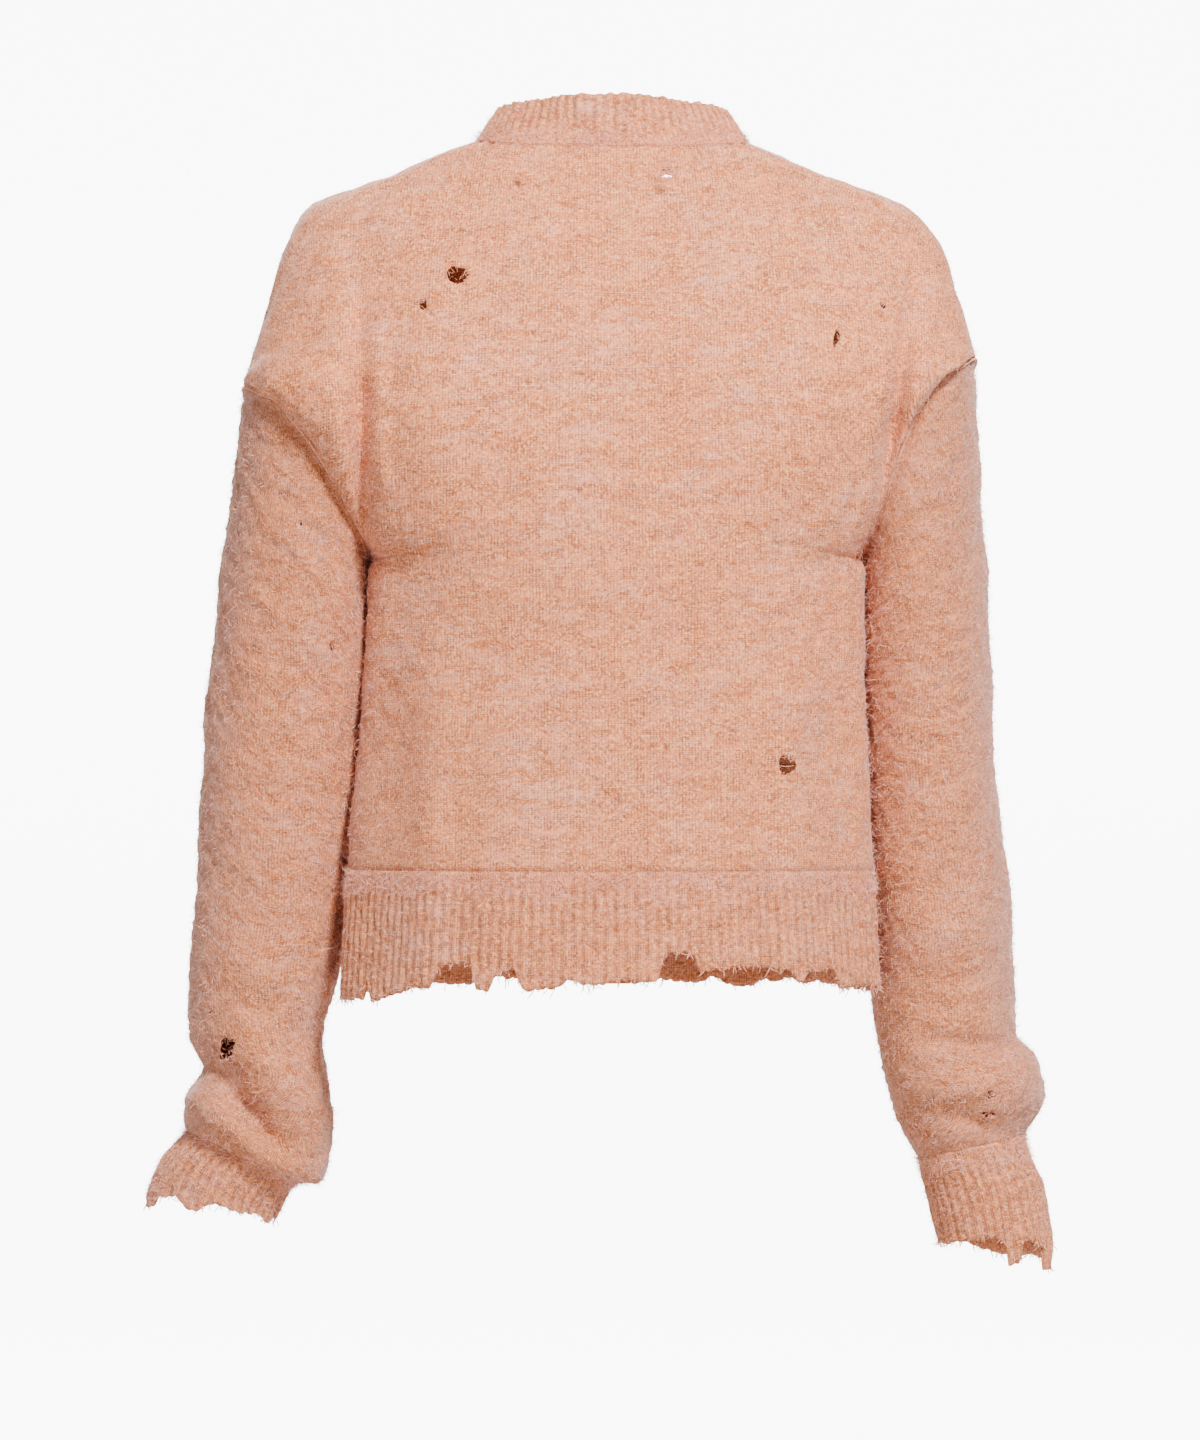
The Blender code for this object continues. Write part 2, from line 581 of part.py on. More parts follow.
def sleeve_grid(side):
    """A sleeve's rings, with one point for each armhole row of the back and of the front."""
    angles = np.linspace(0.0, 2.0 * math.pi, 2 * ARMHOLE_ROWS, endpoint=False)
    along = np.concatenate([[0.0, 0.05], np.linspace(0.05, 1.0, SLEEVE_ROWS)[1:]])[:, None]
    return sleeve_ring(side, along, angles[None, :])


grids = {side: trunk_grids(side) for side in (LEFT, RIGHT)}
sleeves = {side: sleeve_grid(side) for side in (LEFT, RIGHT)}
whole_back = np.concatenate([grids[LEFT][0][:, ::-1], grids[RIGHT][0][:, 1:]], axis=1)
back_normals = normals(whole_back, away=core(0))
front_normals = {side: normals(grids[side][1], away=core(side)) for side in (LEFT, RIGHT)}
sleeve_normals = {side: normals(sleeves[side], closed=True) for side in (LEFT, RIGHT)}
fronts = {side: grids[side][1].copy() for side in (LEFT, RIGHT)}
back = whole_back.copy()

ARM = slice(SIDE_END, ARMHOLE_END + 1)
for side in (LEFT, RIGHT):
    edge = 0 if side == LEFT else 2 * HALF_COLUMNS
    behind, before, ring = back_normals[:, edge], front_normals[side][:, -1], sleeve_normals[side][0]
    # The sleeve's points run from its outer side over the back to the inner side and round the front.
    ring_back = ring[:ARMHOLE_ROWS + 1][::-1]
    ring_front = np.concatenate([ring[ARMHOLE_ROWS:], ring[:1]])
    shared = unit(behind + before)
    shared_behind, shared_before = shared.copy(), shared.copy()
    shared_behind[ARM] = unit(behind[ARM] + ring_back)
    shared_before[ARM] = unit(before[ARM] + ring_front)
    for corner, at in ((SIDE_END, 0), (ARMHOLE_END, ARMHOLE_ROWS)):
        corner_normal = unit(shared[corner] + ring_back[at])
        if corner == SIDE_END:
            corner_normal = np.array([0.0, 0.0, -1.0])
        shared_behind[corner] = corner_normal
        shared_before[corner] = corner_normal
    shared_behind[0, 2] = 0.0
    shared_behind = unit(shared_behind)
    shared_before[0] = shared_behind[0]
    line_behind, line_before = whole_back[:, edge], grids[side][1][:, -1]
    for rows in ((0, SIDE_END), (ARMHOLE_END, LAST_ROW)):
        span = slice(rows[0], rows[1] + 1)
        way = tangents(line_behind, (rows,))[span]
        apart = unit(np.cross(shared_behind[span], way))
        apart = apart * np.sign(apart[:, 1:2])
        back[span, edge] += apart * SEAM_GAP / 2
        fronts[side][span, -1] -= apart * SEAM_GAP / 2
    new_ring = sleeves[side][0].copy()
    onward = sleeves[side][1] - sleeves[side][0]
    for line, shared_line, piece, column, picks in (
            (line_behind, shared_behind, back, edge, np.arange(ARMHOLE_ROWS, -1, -1)),
            (line_before, shared_before, fronts[side], -1,
             np.concatenate([np.arange(ARMHOLE_ROWS, 2 * ARMHOLE_ROWS), [0]]))):
        way = tangents(line, ((SIDE_END, ARMHOLE_END),))[ARM]
        apart = unit(np.cross(shared_line[ARM], way))
        apart = apart * np.sign(np.sum(apart * onward[picks], axis=1, keepdims=True))
        piece[ARM, column] -= apart * SEAM_GAP / 2
        new_ring[picks] = sleeves[side][0][picks] + apart * SEAM_GAP / 2
        sleeve_normals[side][0][picks] = shared_line[ARM]
    sleeves[side][0] = new_ring
    back_normals[:, edge] = shared_behind
    front_normals[side][:, -1] = shared_before

# The last row of each panel is the neck edge and the first one meets the welt.
neck_line, neck_out = [], []
for side in (LEFT, RIGHT):
    front_normals[side][:, 0, 0] = 0.0
    front_normals[side][:, 0] = unit(front_normals[side][:, 0])
    fronts[side][:, 0, 0] += side * SEAM_GAP / 2
for grid, out in ((back, back_normals), (fronts[LEFT], front_normals[LEFT]), (fronts[RIGHT], front_normals[RIGHT])):
    out[0, :, 2] = 0.0
    out[0] = unit(out[0])
    grid[0, :, 2] += SEAM_GAP / 2
    neck_line.append(grid[-1].copy())
    neck_out.append(out[-1].copy())
    way = unit(np.gradient(grid[-1], axis=0))
    apart = unit(np.cross(out[-1], way))
    apart = apart * np.sign(np.sum(apart * (grid[-2] - grid[-1]), axis=1, keepdims=True))
    grid[-1] = grid[-1] + apart * SEAM_GAP

body("back", back, back - WALL * back_normals, False, "mohair")
for side in (LEFT, RIGHT):
    body(SIDES[side] + "_front", fronts[side], fronts[side] - WALL * front_normals[side], False, "mohair")


def ring_plane(side, along):
    """Direction down a sleeve, square to the plane of its ring."""
    ring = sleeve_ring(side, along, np.array([0.0, math.pi / 2, math.pi]))
    square = unit(np.cross(ring[0] - ring[2], np.array([0.0, 1.0, 0.0])))
    return square * -np.sign(square[2])


for side in (LEFT, RIGHT):
    plane = ring_plane(side, 1.0)
    last = sleeve_normals[side][-1]
    last = unit(last - np.sum(last * plane, axis=-1, keepdims=True) * plane)
    sleeve_normals[side][-1] = last
    sleeves[side][-1] -= plane * SEAM_GAP / 2
    # A worn sleeve is one knitted piece; its solid is parted along the outer and inner arm.
    halves = (("behind", 1, np.arange(ARMHOLE_ROWS + 1)),
              ("before", -1, np.concatenate([np.arange(ARMHOLE_ROWS, 2 * ARMHOLE_ROWS), [0]])))
    for half, way, picks in halves:
        outer, out = sleeves[side][:, picks].copy(), sleeve_normals[side][:, picks].copy()
        for column in (0, -1):
            outer[:, column, 1] += way * SEAM_GAP / 2
            out[:, column, 1] = 0.0
        out = unit(out)
        body(SIDES[side] + "_sleeve_" + half, outer, outer - WALL * out, False, "mohair")

    # The cuff: equal columns round the arm, two for each rib.
    dense = sleeve_ring(side, 1.0, np.linspace(0.0, 2.0 * math.pi, 361))
    ribs = round(length(dense) / RIB_PITCH)
    reach = np.concatenate([[0.0], np.cumsum(np.linalg.norm(np.diff(dense, axis=0), axis=1))])
    angles = np.interp(np.linspace(0.0, reach[-1], 2 * ribs, endpoint=False), reach,
                       np.linspace(0.0, 2.0 * math.pi, 361))
    along = np.linspace(1.0, 2.0, CUFF_ROWS + 1)[:, None]
    cuff = sleeve_ring(side, along, angles[None, :])
    fray = read(FRAY, FRAY_COLUMNS, SIDES[side], np.degrees(angles))
    cuff[-1] -= ring_plane(side, 2.0) * fray[:, None]
    out = normals(cuff, closed=True)
    top = unit(out[0] - np.sum(out[0] * plane, axis=-1, keepdims=True) * plane)
    out[0] = top
    cuff[0] += plane * SEAM_GAP / 2
    raised = cuff + out * rib_lift(2 * ribs)[None, :, None]
    body(SIDES[side] + "_cuff", raised, cuff - RIB_WALL * out, True, "mohair_rib")


def welt_line(side, facing, height):
    """The trunk's section at a height, from its middle to the side seam."""
    turn = np.linspace(0.0, math.pi / 2, 61) if facing == BACK else math.pi - np.linspace(0.0, math.pi / 2, 61)
    line = panel(side, facing, np.zeros(61), turn)
    middle = "back" if facing == BACK else "front"
    width = float(read(TRUNK, TRUNK_COLUMNS, SIDES[side], height) / read(TRUNK, TRUNK_COLUMNS, SIDES[side], RIB_TOP))
    depth = float(read(PROFILE, PROFILE_COLUMNS, middle, height) / read(PROFILE, PROFILE_COLUMNS, middle, RIB_TOP))
    start = 0.0 if facing == BACK else BAND_WIDTH / 2
    line[:, 0] = side * (start + (np.abs(line[:, 0]) - start) * width)
    line[:, 1] *= depth
    line[:, 2] = height
    return line


def welt(sections, torn, ends):
    """A ribbed welt: sections of the trunk from its join down to its torn edge, ribs on the outside."""
    ribs = round(length(sections[0]) / RIB_PITCH)
    columns = 2 * ribs
    lines = np.stack([along_line(line, columns) for line in sections])
    torn_z = read_straight(torn, TORN_COLUMNS, "edge", lines[-1, :, 0])
    part = np.linspace(0.0, 1.0, WELT_ROWS + 1)[:, None]
    top = RIB_TOP - SEAM_GAP / 2
    z = top + (torn_z[None, :] - top) * part
    fall = np.clip((z - top) / (WELT_BOTTOM - top), 0.0, 1.1)[..., None]
    grid = lines[0][None] + (lines[-1] - lines[0])[None] * fall
    grid[..., 2] = z
    out = normals(grid, away=(0.0, 0.0, RIB_TOP))
    out[0, :, 2] = 0.0
    out[0] = unit(out[0])
    for column, facing in ends:
        if facing == "side":
            out[:, column, 1] = 0.0
            out[:, column, 2] = 0.0
        else:
            out[:, column, 0] = 0.0
        out[:, column] = unit(out[:, column])
    return grid, out, columns


back_sections = [np.concatenate([welt_line(LEFT, BACK, height)[::-1], welt_line(RIGHT, BACK, height)[1:]])
                 for height in (RIB_TOP, WELT_BOTTOM)]
grid, out, columns = welt(back_sections, BACK_TORN, ((0, "side"), (-1, "side")))
grid[:, 0, 1] += SEAM_GAP / 2
grid[:, -1, 1] += SEAM_GAP / 2
raised = grid + out * rib_lift(columns + 1)[None, :, None]
body("back_hem_rib", raised, grid - RIB_WALL * out, False, "mohair_rib")
for side in (LEFT, RIGHT):
    sections = [welt_line(side, FRONT, height) for height in (RIB_TOP, WELT_BOTTOM)]
    grid, out, columns = welt(sections, FRONT_TORN, ((0, "middle"), (-1, "side")))
    grid = stand_off(grid, out, side)
    grid[:, 0, 0] += side * SEAM_GAP / 2
    grid[:, -1, 1] -= SEAM_GAP / 2
    raised = grid + out * rib_lift(columns + 1)[None, :, None]
    body(SIDES[side] + "_front_hem_rib", raised, grid - RIB_WALL * out, False, "mohair_rib")

# The neckband follows the neck edge from the left front round the back to the right front.
base = np.concatenate([neck_line[1][:-1], neck_line[0], neck_line[2][::-1][1:]])
base_out = np.concatenate([neck_out[1][:-1], neck_out[0], neck_out[2][::-1][1:]])
base_length = np.concatenate([[0.0], np.cumsum(np.linalg.norm(np.diff(base, axis=0), axis=1))])
ribs = round(base_length[-1] / RIB_PITCH)
wanted = np.linspace(0.0, base_length[-1], 2 * ribs + 1)
foot = np.stack([np.interp(wanted, base_length, base[:, axis]) for axis in range(3)], axis=1)
foot_out = unit(np.stack([np.interp(wanted, base_length, base_out[:, axis]) for axis in range(3)], axis=1))
inward = np.stack([-np.sign(foot[:, 0]) * np.maximum(np.abs(foot[:, 0]) - BAND_WIDTH / 2, 0.0),
                   NECK_MIDDLE_Y - foot[:, 1], np.zeros(len(foot))], axis=1)
inward = unit(inward)
# It leans in most over the shoulders and least behind the neck.
to_side = np.abs(inward[:, 0])
to_back = smooth(foot[:, 1] / 0.05)
lean = NECKBAND_LEAN + SIDE_LEAN * to_side - BACK_LEAN * to_back * (1.0 - to_side)
rise = unit(inward * lean[:, None] + np.array([0.0, 0.0, 1.0]))
rise[0] = rise[-1] = unit(np.array(FRONT_RISE))
part = np.linspace(0.0, 1.0, NECKBAND_ROWS + 1)[:, None, None]
shorter = SIDE_SHORTER * smooth(to_side / 0.9) * (1.0 - 0.5 * to_back)
tall = NECKBAND_HEIGHT * (1.0 + BACK_TALLER * to_back - shorter)
tall[0] = tall[-1] = NECKBAND_HEIGHT
neckband = foot[None] + rise[None] * tall[None, :, None] * part
band_out = normals(neckband, away=(0.0, 0.0, 0.0))
band_out[0] = foot_out
band_out[1] = unit(band_out[1] + 0.5 * foot_out)
band_out[:, 0, 0] = 0.0
band_out[:, -1, 0] = 0.0
band_out = unit(band_out)
raised = neckband + band_out * rib_lift(2 * ribs + 1)[None, :, None]
body("neckband", raised, neckband - RIB_WALL * band_out, False, "mohair_rib")

# The front bands follow the middle of the front from the welt's edge to the top of the neckband.
middle_z = np.concatenate([[WELT_BOTTOM - 0.002],
                           np.linspace(RIB_TOP, read(MIDDLE, MIDDLE_COLUMNS, "front", 3.0), FRONT_BAND_ROWS)])
middle_y = read(PROFILE, PROFILE_COLUMNS, "front", middle_z)
path = np.stack([np.zeros_like(middle_z), middle_y, middle_z], axis=1)
path = np.concatenate([path, [path[-1] + unit(np.array(FRONT_RISE)) * NECKBAND_HEIGHT]])
path_way = unit(np.gradient(path, axis=0))
path_out = np.stack([np.zeros(len(path)), -path_way[:, 2], path_way[:, 1]], axis=1)
half_band = BAND_WIDTH / 2 - SEAM_GAP / 2
band_ribs = round(BAND_WIDTH / RIB_PITCH)
for side, wall, level, ribbed in ((LEFT, WALL, 0.0, False), (RIGHT, OVER_WALL, OVERLAP_RISE, True)):
    x = side * np.linspace(half_band, -half_band, 2 * band_ribs + 1 if ribbed else 3)
    grid = np.broadcast_to(path[:, None, :], (len(path), len(x), 3)).copy()
    grid[..., 0] = x[None, :]
    out = np.broadcast_to(path_out[:, None, :], grid.shape)
    grid = grid + out * level
    raised = grid + out * rib_lift(len(x))[None, :, None] if ribbed else grid
    body(SIDES[side] + "_button_band", raised, grid - wall * out, False, "mohair_rib")


def cutter(name, centre, direction, half_width, half_height, slant, sides, reach):
    """A prism with an uneven outline, pointing along a direction, that cuts a worn hole."""
    direction = unit(np.asarray(direction, float))
    across = unit(np.cross(np.array([0.0, 0.0, 1.0]), direction))
    up = np.cross(direction, across)
    turn = np.linspace(0.0, 2.0 * math.pi, sides, endpoint=False)
    uneven = 1.0 + HOLE_UNEVEN * np.sin(3.0 * turn + HOLE_VARIETY * centre[0]) * (sides == HOLE_SIDES)
    flat_x = half_width * np.cos(turn) * uneven
    flat_z = half_height * np.sin(turn) * uneven
    tilt = math.radians(slant)
    u = flat_x * math.cos(tilt) - flat_z * math.sin(tilt)
    v = flat_x * math.sin(tilt) + flat_z * math.cos(tilt)
    ring = np.asarray(centre)[None] + u[:, None] * across[None] + v[:, None] * up[None]
    points = np.concatenate([ring - direction * reach, ring + direction * reach])
    count = np.arange(sides)
    following = (count + 1) % sides
    faces = [tuple(map(int, face)) for face in np.stack([count, following, following + sides, count + sides], -1)]
    faces.append(tuple(range(sides))[::-1])
    faces.append(tuple(range(sides, 2 * sides)))
    mesh = bpy.data.meshes.new(name)
    mesh.from_pydata([tuple(map(float, point)) for point in points], [], faces)
    work = bmesh.new()
    work.from_mesh(mesh)
    bmesh.ops.recalc_face_normals(work, faces=work.faces)
    work.to_mesh(mesh)
    work.free()
    thing = bpy.data.objects.new(name, mesh)
    bpy.context.scene.collection.objects.link(thing)
    thing.hide_render = True
    thing.display_type = "WIRE"
    return thing


def cut(target, tool):
    """Cuts one object with another and keeps the cut shape as the target's mesh."""
    change = target.modifiers.new("cut", "BOOLEAN")
    change.operation = "DIFFERENCE"
    change.solver = "EXACT"
    change.object = tool
    ready = bpy.context.evaluated_depsgraph_get()
    mesh = bpy.data.meshes.new_from_object(target.evaluated_get(ready))
    target.modifiers.clear()
    target.data = mesh
    bpy.data.objects.remove(tool, do_unlink=True)


for number, row in enumerate(HOLES):
    hole = dict(zip(HOLE_COLUMNS, row))
    target = bpy.data.objects[hole["piece"]]
    points = np.array([vertex.co for vertex in target.data.vertices])
    away = np.hypot(points[:, 0] - hole["x"], points[:, 2] - hole["z"])
    nearest = points[np.argsort(away)[:6]]
    centre = np.array([hole["x"], nearest[:, 1].mean(), hole["z"]])
    bpy.context.view_layer.update()
    tool = cutter("hole_" + str(number), centre, (0.0, 1.0, 0.0), hole["half_width"], hole["half_height"],
                  hole["slant"], HOLE_SIDES, HOLE_REACH)
    cut(target, tool)

# Round buttons with a raised rim and four sewing holes, lying on the upper band.
for number, height in enumerate(BUTTON_HEIGHTS):
    place = int(np.searchsorted(path[:, 2], height)) - 1
    step = path[place + 1] - path[place]
    surface = path[place] + step * (height - path[place, 2]) / step[2]
    # The button lies along the band as it bends under its rim.
    reach = BUTTON_RADIUS * BUTTON_RIM
    rim_y = np.interp([height - reach, height + reach], path[:, 2], path[:, 1])
    way = unit(np.array([0.0, rim_y[1] - rim_y[0], 2.0 * reach]))
    out = np.array([0.0, -way[2], way[1]])
    under = path[(np.abs(path[:, 2] - height) < reach)]
    ends = np.array([[0.0, rim_y[0], height - reach], [0.0, rim_y[1], height + reach]])
    bend = max(float(np.dot(spot - surface, out)) for spot in np.concatenate([under, ends, [surface]]))
    seat = surface + out * (OVERLAP_RISE + RIB_RISE + BUTTON_LIFT + bend)
    turn = np.linspace(0.0, 2.0 * math.pi, BUTTON_SEGMENTS, endpoint=False)
    across = np.array([1.0, 0.0, 0.0])
    points = [seat + out * BUTTON_PROFILE[0][1] * BUTTON_THICKNESS]
    for radius, thick in BUTTON_PROFILE[1:-1]:
        for angle in turn:
            points.append(seat + out * thick * BUTTON_THICKNESS
                          + (across * math.cos(angle) + way * math.sin(angle)) * radius * BUTTON_RADIUS)
    points.append(seat + out * BUTTON_PROFILE[-1][1] * BUTTON_THICKNESS)
    faces = []
    rings = len(BUTTON_PROFILE) - 2
    for step in range(BUTTON_SEGMENTS):
        following = (step + 1) % BUTTON_SEGMENTS
        faces.append((0, 1 + following, 1 + step))
        for ring in range(rings - 1):
            low = 1 + ring * BUTTON_SEGMENTS
            high = low + BUTTON_SEGMENTS
            faces.append((low + step, low + following, high + following, high + step))
        top = 1 + (rings - 1) * BUTTON_SEGMENTS
        faces.append((top + step, top + following, len(points) - 1))
    mesh = bpy.data.meshes.new("button")
    mesh.from_pydata([tuple(map(float, point)) for point in points], [], faces)
    button = finished("button_" + str(number + 1), mesh, "button_horn")
    bpy.context.view_layer.update()
    for right in (-1, 1):
        for up in (-1, 1):
            centre = (seat + out * BUTTON_THICKNESS / 2
                      + across * right * BUTTON_HOLE_SPACING + way * up * BUTTON_HOLE_SPACING)
            tool = cutter("sewing_hole", centre, out, BUTTON_HOLE_RADIUS, BUTTON_HOLE_RADIUS, 0, 6, BUTTON_THICKNESS)
            bpy.context.view_layer.update()
            cut(button, tool)

total = 0
for thing in bpy.context.scene.objects:
    if thing.type == "MESH":
        faces = sum(len(face.vertices) - 2 for face in thing.data.polygons)
        total += faces
        print(thing.name, faces)
print("triangles", total)
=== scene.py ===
# %% [markdown]
# # A worn mohair cardigan, seen from behind
# The cardigan is knitted from a brushed yarn, so it has two scales: large soft forms (panels, sleeves,
# folds) and a fine surface (stitches, melange colour, loose fibres). The large forms are worked out here
# as surfaces, the fine ones are made in the materials, and the fibres are real thin strips.
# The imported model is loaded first. It fixes where every piece lies.

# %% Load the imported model
import json
import math

import bmesh
import bpy
import numpy as np
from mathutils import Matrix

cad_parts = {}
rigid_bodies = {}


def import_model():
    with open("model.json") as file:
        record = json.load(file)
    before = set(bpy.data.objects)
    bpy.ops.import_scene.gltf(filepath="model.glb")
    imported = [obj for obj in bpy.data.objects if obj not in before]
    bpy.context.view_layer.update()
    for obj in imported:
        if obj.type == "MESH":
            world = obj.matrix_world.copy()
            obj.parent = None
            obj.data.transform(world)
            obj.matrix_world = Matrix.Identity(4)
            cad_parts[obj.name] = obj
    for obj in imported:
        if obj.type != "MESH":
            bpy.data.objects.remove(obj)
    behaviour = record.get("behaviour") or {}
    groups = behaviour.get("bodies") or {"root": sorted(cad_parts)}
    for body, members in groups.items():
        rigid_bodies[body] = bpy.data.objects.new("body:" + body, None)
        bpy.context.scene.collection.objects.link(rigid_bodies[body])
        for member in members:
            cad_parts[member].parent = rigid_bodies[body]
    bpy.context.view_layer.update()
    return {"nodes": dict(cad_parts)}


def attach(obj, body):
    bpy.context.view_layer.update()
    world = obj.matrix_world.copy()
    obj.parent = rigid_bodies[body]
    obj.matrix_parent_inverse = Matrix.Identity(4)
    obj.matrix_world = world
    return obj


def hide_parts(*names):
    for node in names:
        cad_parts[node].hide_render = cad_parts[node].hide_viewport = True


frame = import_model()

# %% [markdown]
# ## Sizes
# All lengths are metres. X runs to the wearer's left, the front faces -Y and Z is up. The tables hold the
# same cut as the solids: short rows with named columns, read along smooth curves. A handful of rows is
# enough, because cloth on a figure changes slowly from one place to the next.

# %% Sizes of the cloth and the tables of its cut
WALL = 0.0025
RIB_WALL = 0.0022
RIB_PITCH = 0.0064
RIB_RISE = 0.0011
RIB_TOP = -0.4560
WELT_BOTTOM = -0.5280
UNDERARM = -0.2625
SIDE_SPACING = 1.5
CENTRE_LIFT = 0.0125
BODY_ROUNDNESS = 2.4
SLEEVE_ROUNDNESS = 2.15
BAND_WIDTH = 0.0300
OVERLAP_RISE = 0.0026
OVERLAP_BLEND = 0.0300
OVER_WALL = 0.0021
NECKBAND_HEIGHT = 0.0300
SHOULDER_SHIFT, SHIFT_OVER = math.radians(26), 0.6
CLIMB_FROM_UNDERARM, CLIMB_TO_NECK = 0.6, 0.7
FLANK_TURN, FLANK_SPREAD, FLANK_RISE, FLANK_FADE = 78, 13, 0.0115, 0.12
BULGE_REACH, BULGE_FADE = 0.20, 1.5
SLEEVE_FADE_TOP, SLEEVE_FADE_END = 0.12, 0.04
TRUNK_CORE = (0.0500, 0.0, -0.2800)
FRONT_RISE = (0.0, 0.39, 0.92)
LEFT, RIGHT, BACK, FRONT = 1, -1, 1, -1
SIDES = {LEFT: "left", RIGHT: "right"}

TRUNK_COLUMNS = ("height", "left", "right")
TRUNK = (
    (-0.545, 0.1560, 0.1600), (-0.500, 0.1550, 0.1590), (-0.456, 0.1525, 0.1565), (-0.400, 0.1480, 0.1540),
    (-0.340, 0.1425, 0.1515), (-0.300, 0.1400, 0.1510), (-0.2700, 0.1400, 0.1520), (-0.2625, 0.1455, 0.1590),
)
PROFILE_COLUMNS = ("height", "back", "front")
PROFILE = (
    (-0.545, 0.130, -0.1290), (-0.456, 0.120, -0.130), (-0.400, 0.109, -0.129), (-0.330, 0.106, -0.132),
    (-0.250, 0.113, -0.1380), (-0.200, 0.115, -0.132), (-0.150, 0.111, -0.112), (-0.100, 0.097, -0.085),
    (-0.085, 0.091, -0.0780), (-0.057, 0.076, -0.0662), (-0.030, 0.062, -0.060), (-0.006, 0.050, -0.056),
)
SHOULDER_COLUMNS = ("along", "left_x", "left_z", "right_x", "right_z")
SHOULDER = (
    (0.00, 0.2275, -0.1580, 0.2306, -0.1406), (0.23, 0.2120, -0.1060, 0.2200, -0.1000),
    (0.40, 0.2010, -0.0660, 0.2070, -0.0650), (0.50, 0.1880, -0.0430, 0.1900, -0.0420),
    (0.61, 0.1670, -0.0330, 0.1680, -0.0335), (0.80, 0.1290, -0.0190, 0.1290, -0.0195),
    (0.91, 0.1040, -0.0085, 0.1080, -0.0105), (1.00, 0.0820, -0.0010, 0.0885, -0.0020),
)
MIDDLE_COLUMNS = ("row", "back", "front")
MIDDLE = (
    (1.0, -0.2500, -0.2500), (1.5, -0.1800, -0.1780), (2.0, -0.1080, -0.1060), (2.5, -0.0550, -0.0930),
    (3.0, -0.0060, -0.0850),
)
SLEEVE_COLUMNS = ("along", "outer_x", "outer_z", "inner_x", "inner_z", "half_depth", "middle_y")
LEFT_SLEEVE = (
    (0.00, 0.2275, -0.1580, 0.1455, -0.2625, 0.0630, 0.0000),
    (0.05, 0.2285, -0.1760, 0.1475, -0.2760, 0.0620, -0.0020),
    (0.15, 0.2345, -0.2200, 0.1480, -0.3000, 0.0610, -0.0060),
    (0.30, 0.2435, -0.2900, 0.1480, -0.3350, 0.0590, -0.0110),
    (0.45, 0.2510, -0.3600, 0.1500, -0.3760, 0.0580, -0.0160),
    (0.58, 0.2550, -0.4200, 0.1540, -0.4250, 0.0570, -0.0210),
    (0.70, 0.2575, -0.4800, 0.1600, -0.4800, 0.0555, -0.0260),
    (0.79, 0.2625, -0.5300, 0.1700, -0.5280, 0.0535, -0.0310),
    (0.85, 0.2610, -0.5600, 0.1790, -0.5600, 0.0530, -0.0350),
    (0.90, 0.2525, -0.5800, 0.1765, -0.5850, 0.0530, -0.0380),
    (0.95, 0.2655, -0.6010, 0.1725, -0.6150, 0.0540, -0.0410),
    (0.975, 0.2660, -0.6120, 0.1745, -0.6390, 0.0530, -0.0430),
    (0.994, 0.2645, -0.6195, 0.1815, -0.6540, 0.0490, -0.0437),
    (1.00, 0.2610, -0.6180, 0.1915, -0.6530, 0.0430, -0.0440),
    (1.50, 0.2800, -0.6400, 0.2040, -0.6660, 0.0400, -0.0460),
    (2.00, 0.2885, -0.6600, 0.2090, -0.6755, 0.0390, -0.0480),
)
RIGHT_SLEEVE = (
    (0.00, 0.2306, -0.1406, 0.1590, -0.2625, 0.0630, 0.0000),
    (0.05, 0.2310, -0.1700, 0.1598, -0.2760, 0.0620, -0.0020),
    (0.15, 0.2330, -0.2150, 0.1590, -0.3000, 0.0610, -0.0060),
    (0.30, 0.2385, -0.2900, 0.1575, -0.3350, 0.0590, -0.0110),
    (0.45, 0.2405, -0.3600, 0.1585, -0.3760, 0.0580, -0.0160),
    (0.58, 0.2450, -0.4200, 0.1600, -0.4250, 0.0570, -0.0210),
    (0.70, 0.2530, -0.4800, 0.1625, -0.4850, 0.0555, -0.0260),
    (0.79, 0.2550, -0.5250, 0.1665, -0.5330, 0.0535, -0.0310),
    (0.85, 0.2560, -0.5580, 0.1715, -0.5700, 0.0530, -0.0350),
    (0.90, 0.2700, -0.5750, 0.1765, -0.5950, 0.0535, -0.0380),
    (0.95, 0.2745, -0.5960, 0.1860, -0.6200, 0.0530, -0.0410),
    (1.00, 0.2630, -0.6220, 0.1950, -0.6370, 0.0420, -0.0440),
    (1.50, 0.2740, -0.6550, 0.2015, -0.6590, 0.0400, -0.0460),
    (2.00, 0.2800, -0.6900, 0.2090, -0.6860, 0.0390, -0.0480),
)
SLEEVES = {LEFT: LEFT_SLEEVE, RIGHT: RIGHT_SLEEVE}

# How far the armhole seam stands over a straight line, by the angle round the arm from its outer side.
ARMHOLE_COLUMNS = ("angle", "left", "right")
ARMHOLE = (
    (0, 0.000, 0.000), (45, 0.012, 0.014), (69, 0.022, 0.028), (90, 0.022, 0.033), (117, 0.015, 0.022),
    (150, 0.005, 0.006), (180, 0.000, 0.000), (225, 0.007, 0.008), (270, 0.015, 0.017), (315, 0.008, 0.009),
    (360, 0.000, 0.000),
)
GROOVE_COLUMNS = ("row", "left_x", "right_x", "half_width", "depth")
GROOVE = (
    (1.0, 0.148, 0.160, 0.016, 0.000), (1.2, 0.147, 0.161, 0.020, 0.008), (1.5, 0.146, 0.166, 0.022, 0.012),
    (1.8, 0.147, 0.172, 0.022, 0.011), (2.0, 0.148, 0.177, 0.022, 0.008), (2.3, 0.150, 0.183, 0.022, 0.003),
    (2.6, 0.151, 0.185, 0.018, 0.000), (3.0, 0.151, 0.185, 0.018, 0.000),
)
print("table rows:", len(TRUNK), len(PROFILE), len(SHOULDER), len(LEFT_SLEEVE), len(RIGHT_SLEEVE))

